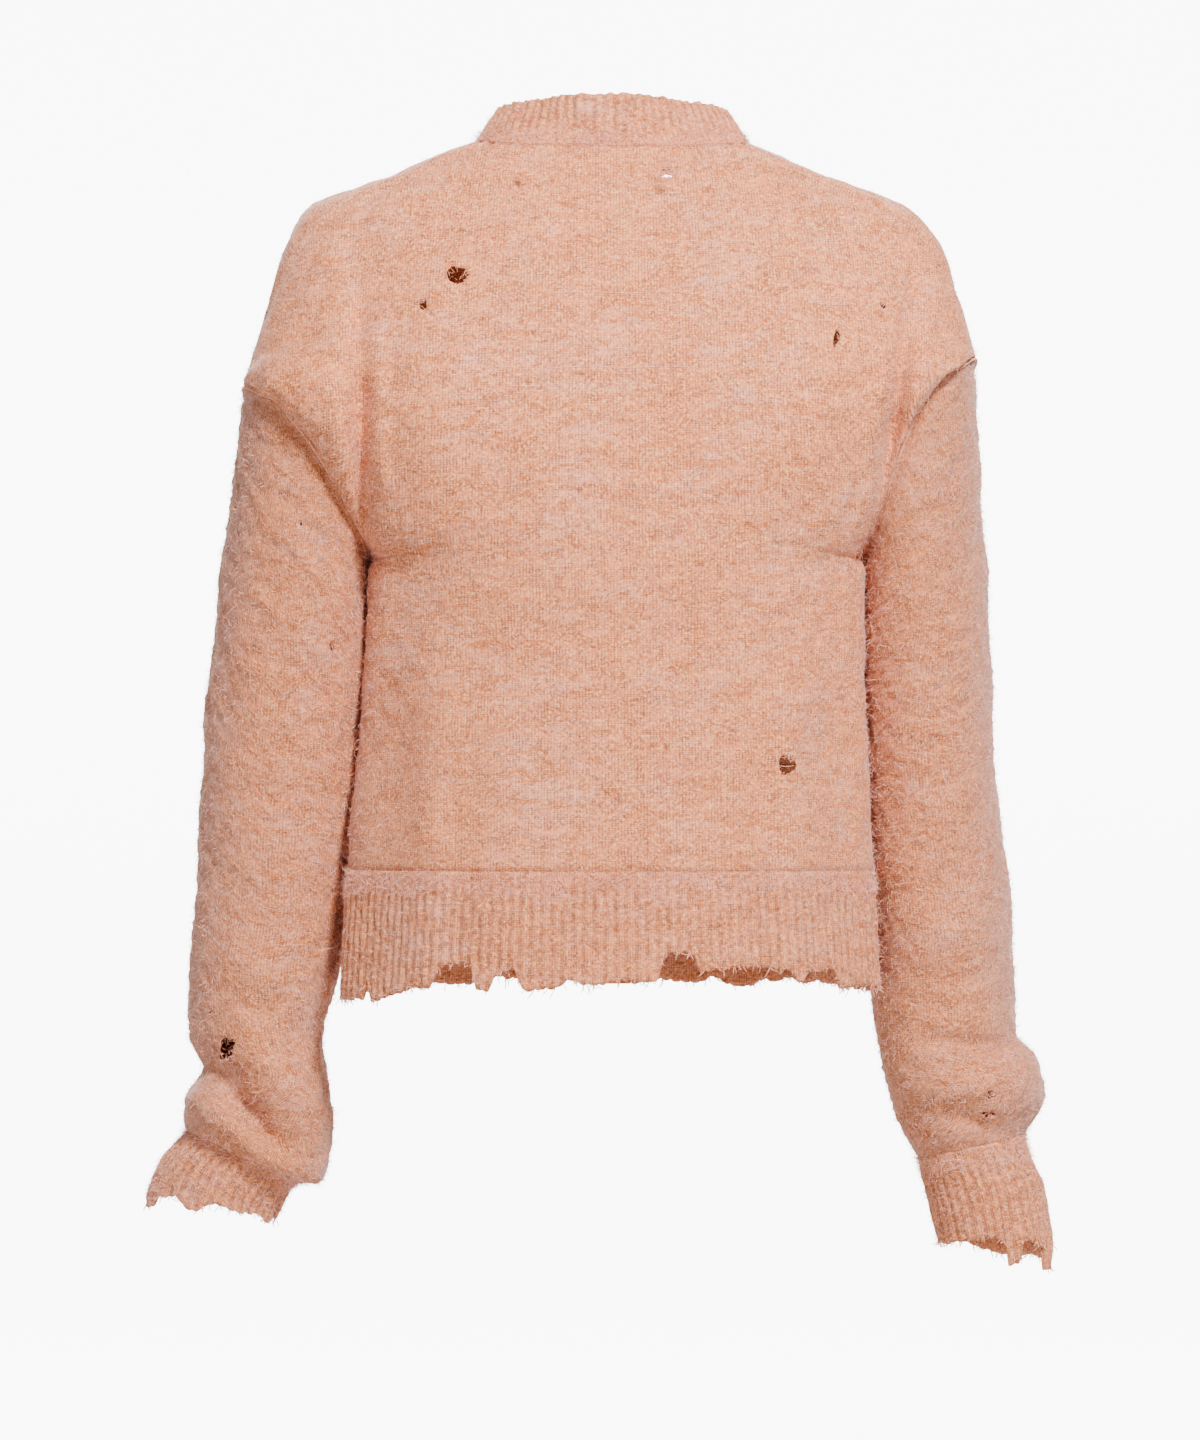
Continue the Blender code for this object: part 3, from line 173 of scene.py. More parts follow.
# %% [markdown]
# ## Reading the tables
# A garment has no corners between its measured places, so a table is read along a curve that passes
# through every row without swinging past it. Such a curve takes the harmonic mean of the two slopes
# beside each row, and is level where the slopes change sign.

# %% Curves through table rows
def read(rows, columns, name, at):
    """One column of a table, read between its rows along a smooth curve that never passes them."""
    where = np.array([row[0] for row in rows], float)
    value = np.array([row[columns.index(name)] for row in rows], float)
    step = np.diff(value) / np.diff(where)
    before, after = step[:-1], step[1:]
    level = 2.0 * before * after / np.where(before * after > 0, before + after, 1.0)
    slope = np.concatenate([step[:1], np.where(before * after > 0, level, 0.0), step[-1:]])
    at = np.clip(np.asarray(at, float), where[0], where[-1])
    low = np.clip(np.searchsorted(where, at) - 1, 0, len(where) - 2)
    span = where[low + 1] - where[low]
    part = (at - where[low]) / span
    square, cube = part * part, part ** 3
    return ((2 * cube - 3 * square + 1) * value[low] + (cube - 2 * square + part) * span * slope[low]
            + (3 * square - 2 * cube) * value[low + 1] + (cube - square) * span * slope[low + 1])


def read_straight(rows, columns, name, at):
    """One column of a table, read between its rows along straight lines."""
    return np.interp(at, [row[0] for row in rows], [row[columns.index(name)] for row in rows])


def unit(vectors):
    """Each vector divided by its own length."""
    return vectors / np.maximum(np.linalg.norm(vectors, axis=-1, keepdims=True), 1e-12)


def smooth(part):
    """A rise from 0 to 1 that starts and ends level: 3 t squared less 2 t cubed."""
    part = np.clip(part, 0.0, 1.0)
    return part * part * (3.0 - 2.0 * part)


def rounded(value, roundness):
    """A cosine or sine raised, with its sign, to the power that squares off an ellipse."""
    return np.sign(value) * np.abs(value) ** (2.0 / roundness)


def lengths(line):
    """Length along a line of points, from its first one: the running sum of its steps."""
    return np.concatenate([[0.0], np.cumsum(np.linalg.norm(np.diff(line, axis=0), axis=1))])


def follow(line, reach, wanted):
    """Points of a line at the wanted reach, read straight between the given ones, axis by axis."""
    return np.stack([np.interp(wanted, reach, line[:, axis]) for axis in range(3)], axis=-1)


print("half width at the hem:", round(float(read(TRUNK, TRUNK_COLUMNS, "left", RIB_TOP)), 4))

# %% [markdown]
# ## Folds and creases
# Knitted cloth bends in long soft ridges, and nobody places them evenly. Each ridge here is a bell curve
# across its line and a longer one along it, with a place, a slant and a rise of its own. Simulated cloth
# would give other folds on each run of its settings; placed ones follow what is seen.
# On top of them a few slow sine waves in fixed random directions make the slack of a loose knit.

# %% Soft folds, placed one by one
FOLD_COLUMNS = ("x", "z", "slant", "long", "wide", "rise")
FOLD_AT_RIB, FOLD_RIB_FADE, FOLD_BAND_FADE, FOLD_SIDE_FADE = 0.35, 0.30, 0.03, 3.0
BACK_FOLDS = (
    (-0.117, -0.430, 88, 0.065, 0.011, 0.0075), (-0.100, -0.440, 86, 0.055, 0.009, -0.0060),
    (0.090, -0.460, 84, 0.055, 0.010, -0.0060), (0.110, -0.440, 92, 0.065, 0.012, 0.0055),
    (0.120, -0.330, 70, 0.060, 0.018, 0.0040), (-0.125, -0.320, 110, 0.060, 0.018, 0.0040),
    (0.165, -0.120, 62, 0.040, 0.016, 0.0040), (-0.165, -0.125, 118, 0.040, 0.016, 0.0040),
    (0.084, -0.400, 86, 0.040, 0.0050, -0.0012), (-0.122, -0.395, 93, 0.035, 0.0045, -0.0014),
    (0.030, -0.445, 96, 0.030, 0.0060, 0.0012), (-0.045, -0.440, 82, 0.034, 0.0070, 0.0011),
    (0.136, -0.215, 68, 0.030, 0.0060, 0.0018), (-0.150, -0.205, 108, 0.036, 0.0060, 0.0018),
    (0.118, -0.070, 24, 0.030, 0.0065, 0.0012), (-0.118, -0.064, 158, 0.026, 0.0060, 0.0012),
    (0.015, -0.032, 4, 0.040, 0.0060, 0.0010), (-0.060, -0.160, 12, 0.045, 0.0100, 0.0009),
    (0.055, -0.245, 172, 0.050, 0.0120, 0.0010), (-0.030, -0.335, 6, 0.050, 0.0120, 0.0010),
    (0.190, -0.090, 60, 0.030, 0.0050, 0.0012), (-0.197, -0.098, 124, 0.026, 0.0050, 0.0012),
    (0.1520, -0.200, 89, 0.080, 0.0055, -0.0125), (-0.1775, -0.180, 98, 0.080, 0.0055, -0.0120),
    (0.1405, -0.200, 89, 0.080, 0.0060, 0.0035), (-0.165, -0.185, 98, 0.075, 0.0065, 0.0035),
    (0.166, -0.185, 80, 0.045, 0.0070, 0.0035), (-0.190, -0.165, 102, 0.045, 0.0070, 0.0035),
)
FRONT_FOLDS = (
    (-0.110, -0.400, 84, 0.070, 0.015, 0.0050), (0.105, -0.420, 95, 0.060, 0.015, 0.0045),
    (0.080, -0.210, 55, 0.050, 0.014, 0.0035), (-0.085, -0.200, 124, 0.050, 0.014, 0.0040),
    (0.055, -0.430, 82, 0.034, 0.0060, 0.0014), (-0.062, -0.425, 98, 0.030, 0.0055, 0.0014),
    (0.120, -0.290, 62, 0.036, 0.0065, 0.0016), (-0.126, -0.280, 117, 0.034, 0.0060, 0.0017),
    (0.060, -0.110, 40, 0.028, 0.0060, 0.0012), (-0.066, -0.118, 142, 0.030, 0.0060, 0.0012),
    (0.036, -0.330, 12, 0.030, 0.0080, 0.0012), (-0.040, -0.250, 168, 0.032, 0.0080, 0.0012),
)
LEFT_BEHIND = (
    (0.226, -0.602, 51, 0.034, 0.0078, -0.0135), (0.205, -0.588, 52, 0.036, 0.0100, 0.0060),
    (0.206, -0.631, 49, 0.020, 0.0062, -0.0075),
    (0.226, -0.626, 35, 0.042, 0.0090, 0.0085), (0.215, -0.520, 20, 0.030, 0.0120, 0.0035),
    (0.196, -0.628, 74, 0.020, 0.0050, -0.0020), (0.236, -0.590, 38, 0.020, 0.0050, 0.0016),
    (0.187, -0.575, 66, 0.026, 0.0050, -0.0018), (0.222, -0.552, 24, 0.024, 0.0050, 0.0012),
    (0.190, -0.262, 47, 0.036, 0.0050, 0.0020), (0.176, -0.252, 48, 0.040, 0.0048, -0.0022),
    (0.205, -0.300, 52, 0.030, 0.0060, 0.0014), (0.178, -0.322, 60, 0.030, 0.0060, 0.0016),
    (0.200, -0.395, 10, 0.030, 0.0080, 0.0012), (0.222, -0.450, 170, 0.026, 0.0070, 0.0012),
    (0.185, -0.470, 14, 0.024, 0.0060, -0.0012),
)
LEFT_BEFORE = (
    (0.215, -0.430, -30, 0.035, 0.0170, -0.0040), (0.215, -0.465, -25, 0.035, 0.0170, 0.0040),
    (0.220, -0.585, 20, 0.035, 0.0130, -0.0040), (0.190, -0.260, 50, 0.032, 0.0060, 0.0018),
    (0.205, -0.372, -22, 0.026, 0.0055, 0.0014), (0.226, -0.520, 14, 0.024, 0.0060, 0.0016),
    (0.225, -0.612, 30, 0.026, 0.0055, 0.0020),
)
RIGHT_BEHIND = (
    (-0.235, -0.566, 8, 0.036, 0.0080, -0.0070), (-0.235, -0.590, -5, 0.042, 0.0110, 0.0070),
    (-0.236, -0.616, 16, 0.038, 0.0075, -0.0065), (-0.210, -0.500, -15, 0.030, 0.0120, 0.0035),
    (-0.248, -0.628, 38, 0.022, 0.0050, -0.0022), (-0.214, -0.575, -10, 0.020, 0.0045, -0.0014),
    (-0.226, -0.556, 2, 0.030, 0.0045, 0.0014), (-0.206, -0.606, -32, 0.020, 0.0050, 0.0012),
    (-0.200, -0.150, 118, 0.026, 0.0050, -0.0016), (-0.192, -0.190, 124, 0.032, 0.0048, -0.0022),
    (-0.204, -0.205, 122, 0.034, 0.0055, 0.0020), (-0.182, -0.240, 112, 0.026, 0.0050, 0.0016),
    (-0.190, -0.330, 100, 0.040, 0.0080, 0.0014), (-0.215, -0.420, 176, 0.026, 0.0070, 0.0011),
    (-0.185, -0.470, 165, 0.026, 0.0060, -0.0012),
)
RIGHT_BEFORE = (
    (-0.210, -0.425, 28, 0.035, 0.0170, -0.0040), (-0.212, -0.460, 24, 0.035, 0.0170, 0.0040),
    (-0.230, -0.595, -15, 0.035, 0.0130, -0.0040), (-0.188, -0.255, 128, 0.030, 0.0060, 0.0018),
    (-0.206, -0.360, 20, 0.026, 0.0055, 0.0014), (-0.228, -0.528, -12, 0.024, 0.0060, 0.0016),
    (-0.236, -0.622, -26, 0.024, 0.0055, 0.0018),
)
SLEEVE_FOLDS = {(LEFT, BACK): LEFT_BEHIND, (LEFT, FRONT): LEFT_BEFORE,
                (RIGHT, BACK): RIGHT_BEHIND, (RIGHT, FRONT): RIGHT_BEFORE}


def fold_height(x, z, folds):
    """Sum of long soft ridges: rise times exp of minus (along / long) squared and (across / wide) squared."""
    height = np.zeros(np.broadcast(x, z).shape)
    for row in folds:
        fold = dict(zip(FOLD_COLUMNS, row))
        turn = math.radians(fold["slant"])
        along = (x - fold["x"]) * math.cos(turn) + (z - fold["z"]) * math.sin(turn)
        across = (z - fold["z"]) * math.cos(turn) - (x - fold["x"]) * math.sin(turn)
        height = height + fold["rise"] * np.exp(-(along / fold["long"]) ** 2 - (across / fold["wide"]) ** 2)
    return height


def slack(points, wave, rise, seed, count=7):
    """Sum of sine waves of about one length over the root of their count, each in a random direction."""
    chance = np.random.default_rng(seed)
    ways = unit(chance.normal(size=(count, 3))) * (2.0 * math.pi / wave)
    ways = ways * chance.uniform(0.75, 1.35, (count, 1))
    start = chance.uniform(0.0, 2.0 * math.pi, count)
    return rise * np.sin(points @ ways.T + start).sum(axis=-1) / math.sqrt(count)


print("folds placed:", len(BACK_FOLDS) + len(FRONT_FOLDS) + sum(len(rows) for rows in SLEEVE_FOLDS.values()))

# %% [markdown]
# ## The sleeve as a surface
# A sleeve on an arm is a tube whose rings tilt and change size. Two parameters give every point: how far
# along the sleeve, and the angle round the arm. A ring is an ellipse with slightly squared sides, hung
# between an outer and an inner edge that the table holds. The cuff is the same tube from 1 to 2.

# %% Sleeve surface
def sleeve_ring(side, along, angle):
    """A sleeve or cuff at a place along it and an angle round it, 0 outside and 90 degrees behind.

    Each ring is a squared-off ellipse between its outer and inner edge; the first one also stands up
    as the armhole does, and folds push it forwards or backwards.
    """
    outer_x, outer_z, inner_x, inner_z, depth, middle = (
        read(SLEEVES[side], SLEEVE_COLUMNS, name, along) for name in SLEEVE_COLUMNS[1:])
    outer_x, inner_x = side * outer_x, side * inner_x
    bulge = read(ARMHOLE, ARMHOLE_COLUMNS, SIDES[side], np.degrees(angle) % 360.0)
    bulge = bulge * np.clip(1.0 - along / BULGE_REACH, 0.0, 1.0) ** BULGE_FADE
    cosine = rounded(np.cos(angle), SLEEVE_ROUNDNESS)
    sine = rounded(np.sin(angle), SLEEVE_ROUNDNESS)
    x = (outer_x + inner_x) / 2 + (outer_x - inner_x) / 2 * cosine
    z = (outer_z + inner_z) / 2 + (outer_z - inner_z) / 2 * cosine + bulge
    y = middle + depth * sine
    behind = fold_height(x, z, SLEEVE_FOLDS[(side, BACK)]) * smooth(np.sin(angle) * 1.6)
    before = fold_height(x, z, SLEEVE_FOLDS[(side, FRONT)]) * smooth(-np.sin(angle) * 1.6)
    fade = smooth(along / SLEEVE_FADE_TOP) * smooth((1.0 - along) / SLEEVE_FADE_END)
    return np.stack(np.broadcast_arrays(x, y + (behind - before) * fade, z), axis=-1)


probe = sleeve_ring(LEFT, 0.5, np.linspace(0.0, 2.0 * math.pi, 181))
print("left sleeve is", round(float(lengths(probe)[-1]), 3), "m round at half way")

# %% [markdown]
# ## The trunk as a surface
# Back and fronts share one surface, so that their seams meet. One parameter climbs from the welt (0) to
# the underarm (1), over the armhole (2) and along the shoulder to the neck (3). The other turns from the
# middle of the back to the middle of the front. In plan each row is a quarter of a squared-off ellipse.

# %% Trunk surface
def panel_edge(side, facing, row):
    """Outer edge of a panel row: side seam (0 to 1), armhole (1 to 2) and shoulder ridge (2 to 3)."""
    name = SIDES[side]
    seam_z = UNDERARM - (UNDERARM - RIB_TOP) * np.clip(1.0 - row, 0.0, 1.0) ** SIDE_SPACING
    seam_x = side * read(TRUNK, TRUNK_COLUMNS, name, seam_z)
    armhole = sleeve_ring(side, 0.0, facing * math.pi * np.clip(2.0 - row, 0.0, 1.0))
    along = np.clip(row - 2.0, 0.0, 1.0)
    ridge_x = side * read(SHOULDER, SHOULDER_COLUMNS, name + "_x", along)
    ridge_z = read(SHOULDER, SHOULDER_COLUMNS, name + "_z", along)
    x = np.where(row <= 1.0, seam_x, np.where(row <= 2.0, armhole[..., 0], ridge_x))
    y = np.where((row > 1.0) & (row < 2.0), armhole[..., 1], 0.0)
    z = np.where(row <= 1.0, seam_z, np.where(row <= 2.0, armhole[..., 2], ridge_z))
    return x, y, z


def panel(side, facing, row, turn):
    """Trunk surface at a row and a turn from the middle of the back (0) to the middle of the front (180).

    In plan each row is a quarter of a squared-off ellipse from the middle to the row's outer edge, a
    little fuller at the flank. A groove sinks it where the arm begins, and soft folds push it out.
    """
    row, turn = np.broadcast_arrays(np.asarray(row, float), np.asarray(turn, float))
    half = math.pi / 2
    to_back = np.where(turn < half - 1e-9, 1.0, np.where(turn > half + 1e-9, -1.0, float(facing)))
    edge_x, edge_y, edge_z = panel_edge(side, facing, row)

    def behind_or_before(rows, columns, at):
        return np.where(to_back > 0, read(rows, columns, "back", at), read(rows, columns, "front", at))

    side_lift = edge_z + CENTRE_LIFT * np.clip(row, 0.0, 1.0) ** 2
    middle_z = np.where(row <= 1.0, side_lift, behind_or_before(MIDDLE, MIDDLE_COLUMNS, row))
    middle_y = behind_or_before(PROFILE, PROFILE_COLUMNS, middle_z)
    start = np.where(to_back > 0, 0.0, side * BAND_WIDTH / 2)
    sine, cosine = np.abs(np.sin(turn)), np.abs(np.cos(turn))
    flank = np.exp(-((np.degrees(turn) - FLANK_TURN) / FLANK_SPREAD) ** 2) * smooth((1.0 - row) / FLANK_FADE)
    x = start + (edge_x - start) * rounded(sine, BODY_ROUNDNESS) + side * FLANK_RISE * flank
    y = edge_y + (middle_y - edge_y) * rounded(cosine, BODY_ROUNDNESS)
    climb = smooth((row - 1.0) / CLIMB_FROM_UNDERARM) * smooth((3.0 - row) / CLIMB_TO_NECK)
    to_edge = (1.0 - climb) * sine ** 2 + climb * (1.0 - rounded(cosine, BODY_ROUNDNESS))
    z = middle_z + (edge_z - middle_z) * to_edge
    groove_x = side * read(GROOVE, GROOVE_COLUMNS, SIDES[side] + "_x", row)
    groove_width = read(GROOVE, GROOVE_COLUMNS, "half_width", row)
    sink = read(GROOVE, GROOVE_COLUMNS, "depth", row) * (row > 1.0)
    sink = sink * np.exp(-((x - groove_x) / groove_width) ** 2)
    folds = np.where(to_back > 0, fold_height(x, z, BACK_FOLDS), fold_height(x, z, FRONT_FOLDS))
    at_middle = np.where(to_back > 0, 1.0, smooth((np.abs(x) - BAND_WIDTH / 2) / FOLD_BAND_FADE))
    at_rib = FOLD_AT_RIB + (1.0 - FOLD_AT_RIB) * smooth(row / FOLD_RIB_FADE)
    y = y + to_back * (folds * at_rib - sink) * smooth(cosine * FOLD_SIDE_FADE) * at_middle
    return np.stack([x, y, z], axis=-1)


def normals(grid, away, closed=False):
    """Outward direction at each point: the cross product of its row's and its column's direction."""
    wide = np.concatenate([grid[:, -1:], grid, grid[:, :1]], axis=1) if closed else grid
    across = np.gradient(wide, axis=1)
    across = across[:, 1:-1] if closed else across
    out = unit(np.cross(across, np.gradient(grid, axis=0)))
    return out if np.sum(out * (grid - np.asarray(away, float))) > 0 else -out


def core(side):
    """A place inside the trunk, half way to the left or the right arm."""
    return np.array(TRUNK_CORE) * np.array([side, 1.0, 1.0])


SIDE_STEPS, ARMHOLE_STEPS, SHOULDER_STEPS, HALF_STEPS = 56, 52, 40, 80
ROWS = np.concatenate([np.linspace(0, 1, SIDE_STEPS + 1), np.linspace(1, 2, ARMHOLE_STEPS + 1)[1:],
                       np.linspace(2, 3, SHOULDER_STEPS + 1)[1:]])[:, None]
SEAM_TURN = math.pi / 2 - SHOULDER_SHIFT * smooth((ROWS - 2.0) / SHIFT_OVER)
SPREAD = np.linspace(0.0, 1.0, HALF_STEPS + 1)[None, :]
half_backs = {side: panel(side, BACK, ROWS, SPREAD * SEAM_TURN) for side in (LEFT, RIGHT)}
back_grid = np.concatenate([half_backs[LEFT][:, ::-1], half_backs[RIGHT][:, 1:]], axis=1)
print("back surface", back_grid.shape, "from", back_grid.min((0, 1)).round(3),
      "to", back_grid.max((0, 1)).round(3))

# %% [markdown]
# ## From a surface to cloth
# Cloth has two faces and an edge. The outer grid and a copy pushed in by the wall's thickness are joined
# round the border, which gives a closed shell with every face turned outwards. A Solidify modifier could
# do the same, but the two grids let ribs stand up outside over a plain inside.
# The shell also carries a map in metres: how far across and how far up the knitting each point lies.

# %% Closed shells with a map in metres
FACES_LOOKED_AT = 500


def shell(name, outer, inner, flat, finishes, closed=False):
    """A closed solid between two grids: quads follow each grid, and one row of quads closes its border.

    flat holds the map (across, up) of each grid point, with one more column than a closed grid has.
    """
    rows, columns = outer.shape[:2]
    number = np.arange(rows * columns).reshape(rows, columns)
    if closed:
        number = np.concatenate([number, number[:, :1]], axis=1)
    place = np.arange(flat.shape[0] * flat.shape[1]).reshape(flat.shape[:2])

    def quads(grid, below):
        a, b, c, d = grid[:-1, :-1], grid[:-1, 1:], grid[1:, 1:], grid[1:, :-1]
        skin = np.stack([a, b, c, d], -1).reshape(-1, 4)
        rims = [(grid[0, 1:], grid[0, :-1]), (grid[-1, :-1], grid[-1, 1:])]
        if not closed:
            rims += [(grid[:-1, 0], grid[1:, 0]), (grid[1:, -1], grid[:-1, -1])]
        border = np.concatenate([np.stack([p, q, q + below, p + below], -1) for p, q in rims])
        return skin, skin[:, ::-1] + below, border

    skins, maps = quads(number, rows * columns), quads(place, 0)
    faces, corners = np.concatenate(skins), np.concatenate(maps)
    spots = np.concatenate([outer.reshape(-1, 3), inner.reshape(-1, 3)])
    some = skins[0][:: max(1, len(skins[0]) // FACES_LOOKED_AT)]
    corner = spots[some[:, 0]]
    facing = np.cross(spots[some[:, 1]] - corner, spots[some[:, 3]] - corner)
    if np.sum(facing * (corner - spots[some[:, 0] + rows * columns])) < 0:
        faces, corners = faces[:, ::-1], corners[:, ::-1]
    mesh = mesh_from(name, spots, faces)
    layer = mesh.uv_layers.new(name="knit")
    layer.data.foreach_set("uv", flat.reshape(-1, 2)[corners.ravel()].astype(np.float32).ravel())
    side_of_cloth = np.zeros(len(faces), np.int32)
    side_of_cloth[len(skins[0]):len(skins[0]) + len(skins[1])] = 1
    mesh.polygons.foreach_set("material_index", side_of_cloth)
    is_smooth = np.ones(len(faces), bool)
    is_smooth[len(skins[0]) + len(skins[1]):] = False
    mesh.polygons.foreach_set("use_smooth", is_smooth)
    for finish in finishes:
        mesh.materials.append(finish)
    return place_piece(name, mesh)


def mesh_from(name, spots, faces):
    """A mesh from an array of points and an array of faces that all have the same number of corners."""
    mesh = bpy.data.meshes.new(name)
    sides = faces.shape[1]
    mesh.vertices.add(len(spots))
    mesh.vertices.foreach_set("co", np.ascontiguousarray(spots, dtype=np.float32).ravel())
    mesh.loops.add(faces.size)
    mesh.loops.foreach_set("vertex_index", np.ascontiguousarray(faces, dtype=np.int32).ravel())
    mesh.polygons.add(len(faces))
    mesh.polygons.foreach_set("loop_start", np.arange(0, faces.size, sides, dtype=np.int32))
    mesh.update(calc_edges=True)
    return mesh


def place_piece(name, mesh):
    """Puts a mesh into the scene as a piece that stays with the cardigan."""
    piece = bpy.data.objects.new(name, mesh)
    bpy.context.scene.collection.objects.link(piece)
    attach(piece, "root")
    return piece


def stations(grid, axis):
    """Length along each row (axis 1) or column (axis 0) of a grid, from its first point."""
    steps = np.linalg.norm(np.diff(grid, axis=axis), axis=-1)
    pad = ((0, 0), (1, 0)) if axis == 1 else ((1, 0), (0, 0))
    return np.pad(np.cumsum(steps, axis=axis), pad)


print("back is", round(float(stations(back_grid, 1)[20, -1]), 3), "m from seam to seam near the hem")

# %% [markdown]
# ## Where the stitches run
# Knitting is laid in columns (wales) and rows (courses) that stay straight in the flat piece, run out into
# the seams, and follow the body when it is worn. To find them, each point of the panel is given two
# numbers whose steps to its neighbours best equal the real steps across and up. That is one large least
# squares problem, and the conjugate gradient method solves it in a few hundred rounds.

# %% Flat map of a panel
def settle(grid, way, rounds=420):
    """Numbers whose differences along the grid best equal its steps measured along a direction field."""
    wide, high = np.diff(grid, axis=1), np.diff(grid, axis=0)
    wide = np.sum(wide * (way[:, 1:] + way[:, :-1]) / 2, axis=-1)
    high = np.sum(high * (way[1:] + way[:-1]) / 2, axis=-1)

    def gather(across, up):
        total = np.zeros(grid.shape[:2])
        total[:, 1:] += across
        total[:, :-1] -= across
        total[1:] += up
        total[:-1] -= up
        return total

    value = np.sum(grid * way, axis=-1)
    rest = gather(wide, high) - gather(np.diff(value, axis=1), np.diff(value, axis=0))
    step, size = rest.copy(), float(np.sum(rest * rest))
    for _ in range(rounds):
        spread = gather(np.diff(step, axis=1), np.diff(step, axis=0))
        amount = size / max(float(np.sum(step * spread)), 1e-30)
        value += amount * step
        rest -= amount * spread
        new = float(np.sum(rest * rest))
        step = rest + step * (new / max(size, 1e-30))
        size = new
    return value


def flat_map(grid, out, facing, offset):
    """Across and up in the flat piece: up follows the body beside its middle, across is square to it.

    The offset moves the map, so that no two pieces show the same stretch of melange.
    """
    upright = np.cross(out, np.array([-float(facing), 0.0, 0.0]))
    climb = np.array([0.0, 0.0, 1.0]) - out * out[..., 2:]
    up = unit(upright + 0.3 * climb)
    across = unit(np.cross(up, out))
    u, v = settle(grid, across), settle(grid, up)
    middle = grid.shape[1] // 2 if facing == BACK else 0
    return np.stack([u - u[0, middle] + offset, v - v[0].mean() + offset], axis=-1)


back_out = normals(back_grid, core(0))
back_flat = flat_map(back_grid, back_out, BACK, 0.0)
print("flat back is", np.ptp(back_flat, axis=(0, 1)).round(3), "m wide and long")

# %% [markdown]
# ## The knitted finish
# The yarn is a melange: peach with orange and pale lilac fibres that change every few stitches, so the
# colour runs in short streaks along the courses. Each stitch is a small V of two legs with painted shade in
# the gap beside it. Shade is painted over larger parts too: the sleeves, the inside and the ribs are darker
# copies of the knit, the cloth darkens towards the hem, the outer arm is greyer and the rib valleys are
# darker. The pale flecks are partly pale fibres and partly painted highlights. The pattern reads the map in
# metres, so it follows the cloth round every fold, and its heights also drive the bump. Sheen stands for the
# brushed pile that lightens where the cloth turns away.

# %% Helpers for finishes
def add(tree, kind, inputs=(), output=0, **settings):
    """A new node; its inputs are values or other nodes' outputs, and one of its outputs is returned."""
    made = tree.nodes.new(kind)
    for name, value in settings.items():
        setattr(made, name, value)
    for name, value in dict(inputs).items():
        if isinstance(value, bpy.types.NodeSocket):
            tree.links.new(value, made.inputs[name])
        else:
            made.inputs[name].default_value = value
    return made.outputs[output]


def calc(operation, *values):
    """One step of arithmetic on numbers and outputs, in the tree that the first output belongs to."""
    tree = next(value.id_data for value in values if isinstance(value, bpy.types.NodeSocket))
    return add(tree, "ShaderNodeMath", enumerate(values), operation=operation)


def plus(first, second):
    """Sum of two numbers or outputs."""
    return calc("ADD", first, second)


def minus(first, second):
    """The second number or output taken from the first."""
    return calc("SUBTRACT", first, second)


def times(first, second):
    """Product of two numbers or outputs."""
    return calc("MULTIPLY", first, second)


def line_of(value, slope, start):
    """Value times slope plus start."""
    return calc("MULTIPLY_ADD", value, slope, start)


def from_half(value):
    """Distance of a number from one half."""
    return calc("ABSOLUTE", minus(value, 0.5))


def blend_colour(part, first, second):
    """A colour between two others by a part from 0 to 1. The part or the first colour is an output."""
    tree = (part if isinstance(part, bpy.types.NodeSocket) else first).id_data
    return add(tree, "ShaderNodeMix", {0: part, 6: first, 7: second}, output=2, data_type="RGBA")


def grains(u, v, w, long, tall, detail=2.0, distortion=0.0):
    """Soft noise whose grains are long in one direction and tall in the other, in metres."""
    place = {0: calc("DIVIDE", u, long), 1: calc("DIVIDE", v, tall), 2: w}
    place = add(u.id_data, "ShaderNodeCombineXYZ", place)
    return add(u.id_data, "ShaderNodeTexNoise", {"Vector": place, "Scale": 1.0, "Detail": detail,
                                                 "Roughness": 0.55, "Distortion": distortion})


def band(value, low, high):
    """A smooth rise from 0 at low to 1 at high."""
    return add(value.id_data, "ShaderNodeMapRange", {0: value, 1: low, 2: high, 3: 0.0, 4: 1.0},
               interpolation_type="SMOOTHSTEP")


def new_finish(name):
    """An empty finish: its node tree and its shader."""
    finish = bpy.data.materials.new(name)
    finish.use_nodes = True
    tree = finish.node_tree
    return finish, tree, tree.nodes["Principled BSDF"]


def colour(red, green, blue):
    """A colour from its display values between 0 and 255, by the display's own power curve."""
    part = np.array([red, green, blue]) / 255.0
    linear = np.where(part <= 0.04045, part / 12.92, ((part + 0.055) / 1.055) ** 2.4)
    return (*map(float, linear), 1.0)


print("half grey is", round(colour(128, 128, 128)[0], 3), "in light")

# %% Knitted mohair
WALE, COURSE, RIB_WALE = 0.00195, 0.00140, 0.0016
TAN, PEACH, LILAC = colour(188, 103, 58), colour(224, 130, 78), colour(216, 154, 138)
# The darkest colour on the next line is painted shade. The rust one is a fibre colour that also paints shade
# in rib valleys, and the bright one is partly pale fibres and partly painted highlight.
PAINTED_SHADE_COLOUR, RUST_AND_VALLEY_SHADE, BRIGHT_FLECK_AND_HIGHLIGHT = colour(50, 32, 26), colour(112, 62, 38), colour(248, 176, 128)
# Grey of the painted shade along the outer arm.
EDGE_SHADE_GREY = colour(176, 138, 130)
SHEEN_TINT = (1.0, 0.88, 0.86, 1.0)
WANDER_SCALE, WANDER = 110.0, 0.0011
PURL_LEAN, PLAIN_LEAN = 0.1, 1.1
# Heights where the painted shade towards the hem starts and where it is full.
HEM_SHADE = (-0.17, -0.50)
OUTER_ARM = (0.075, 0.020)
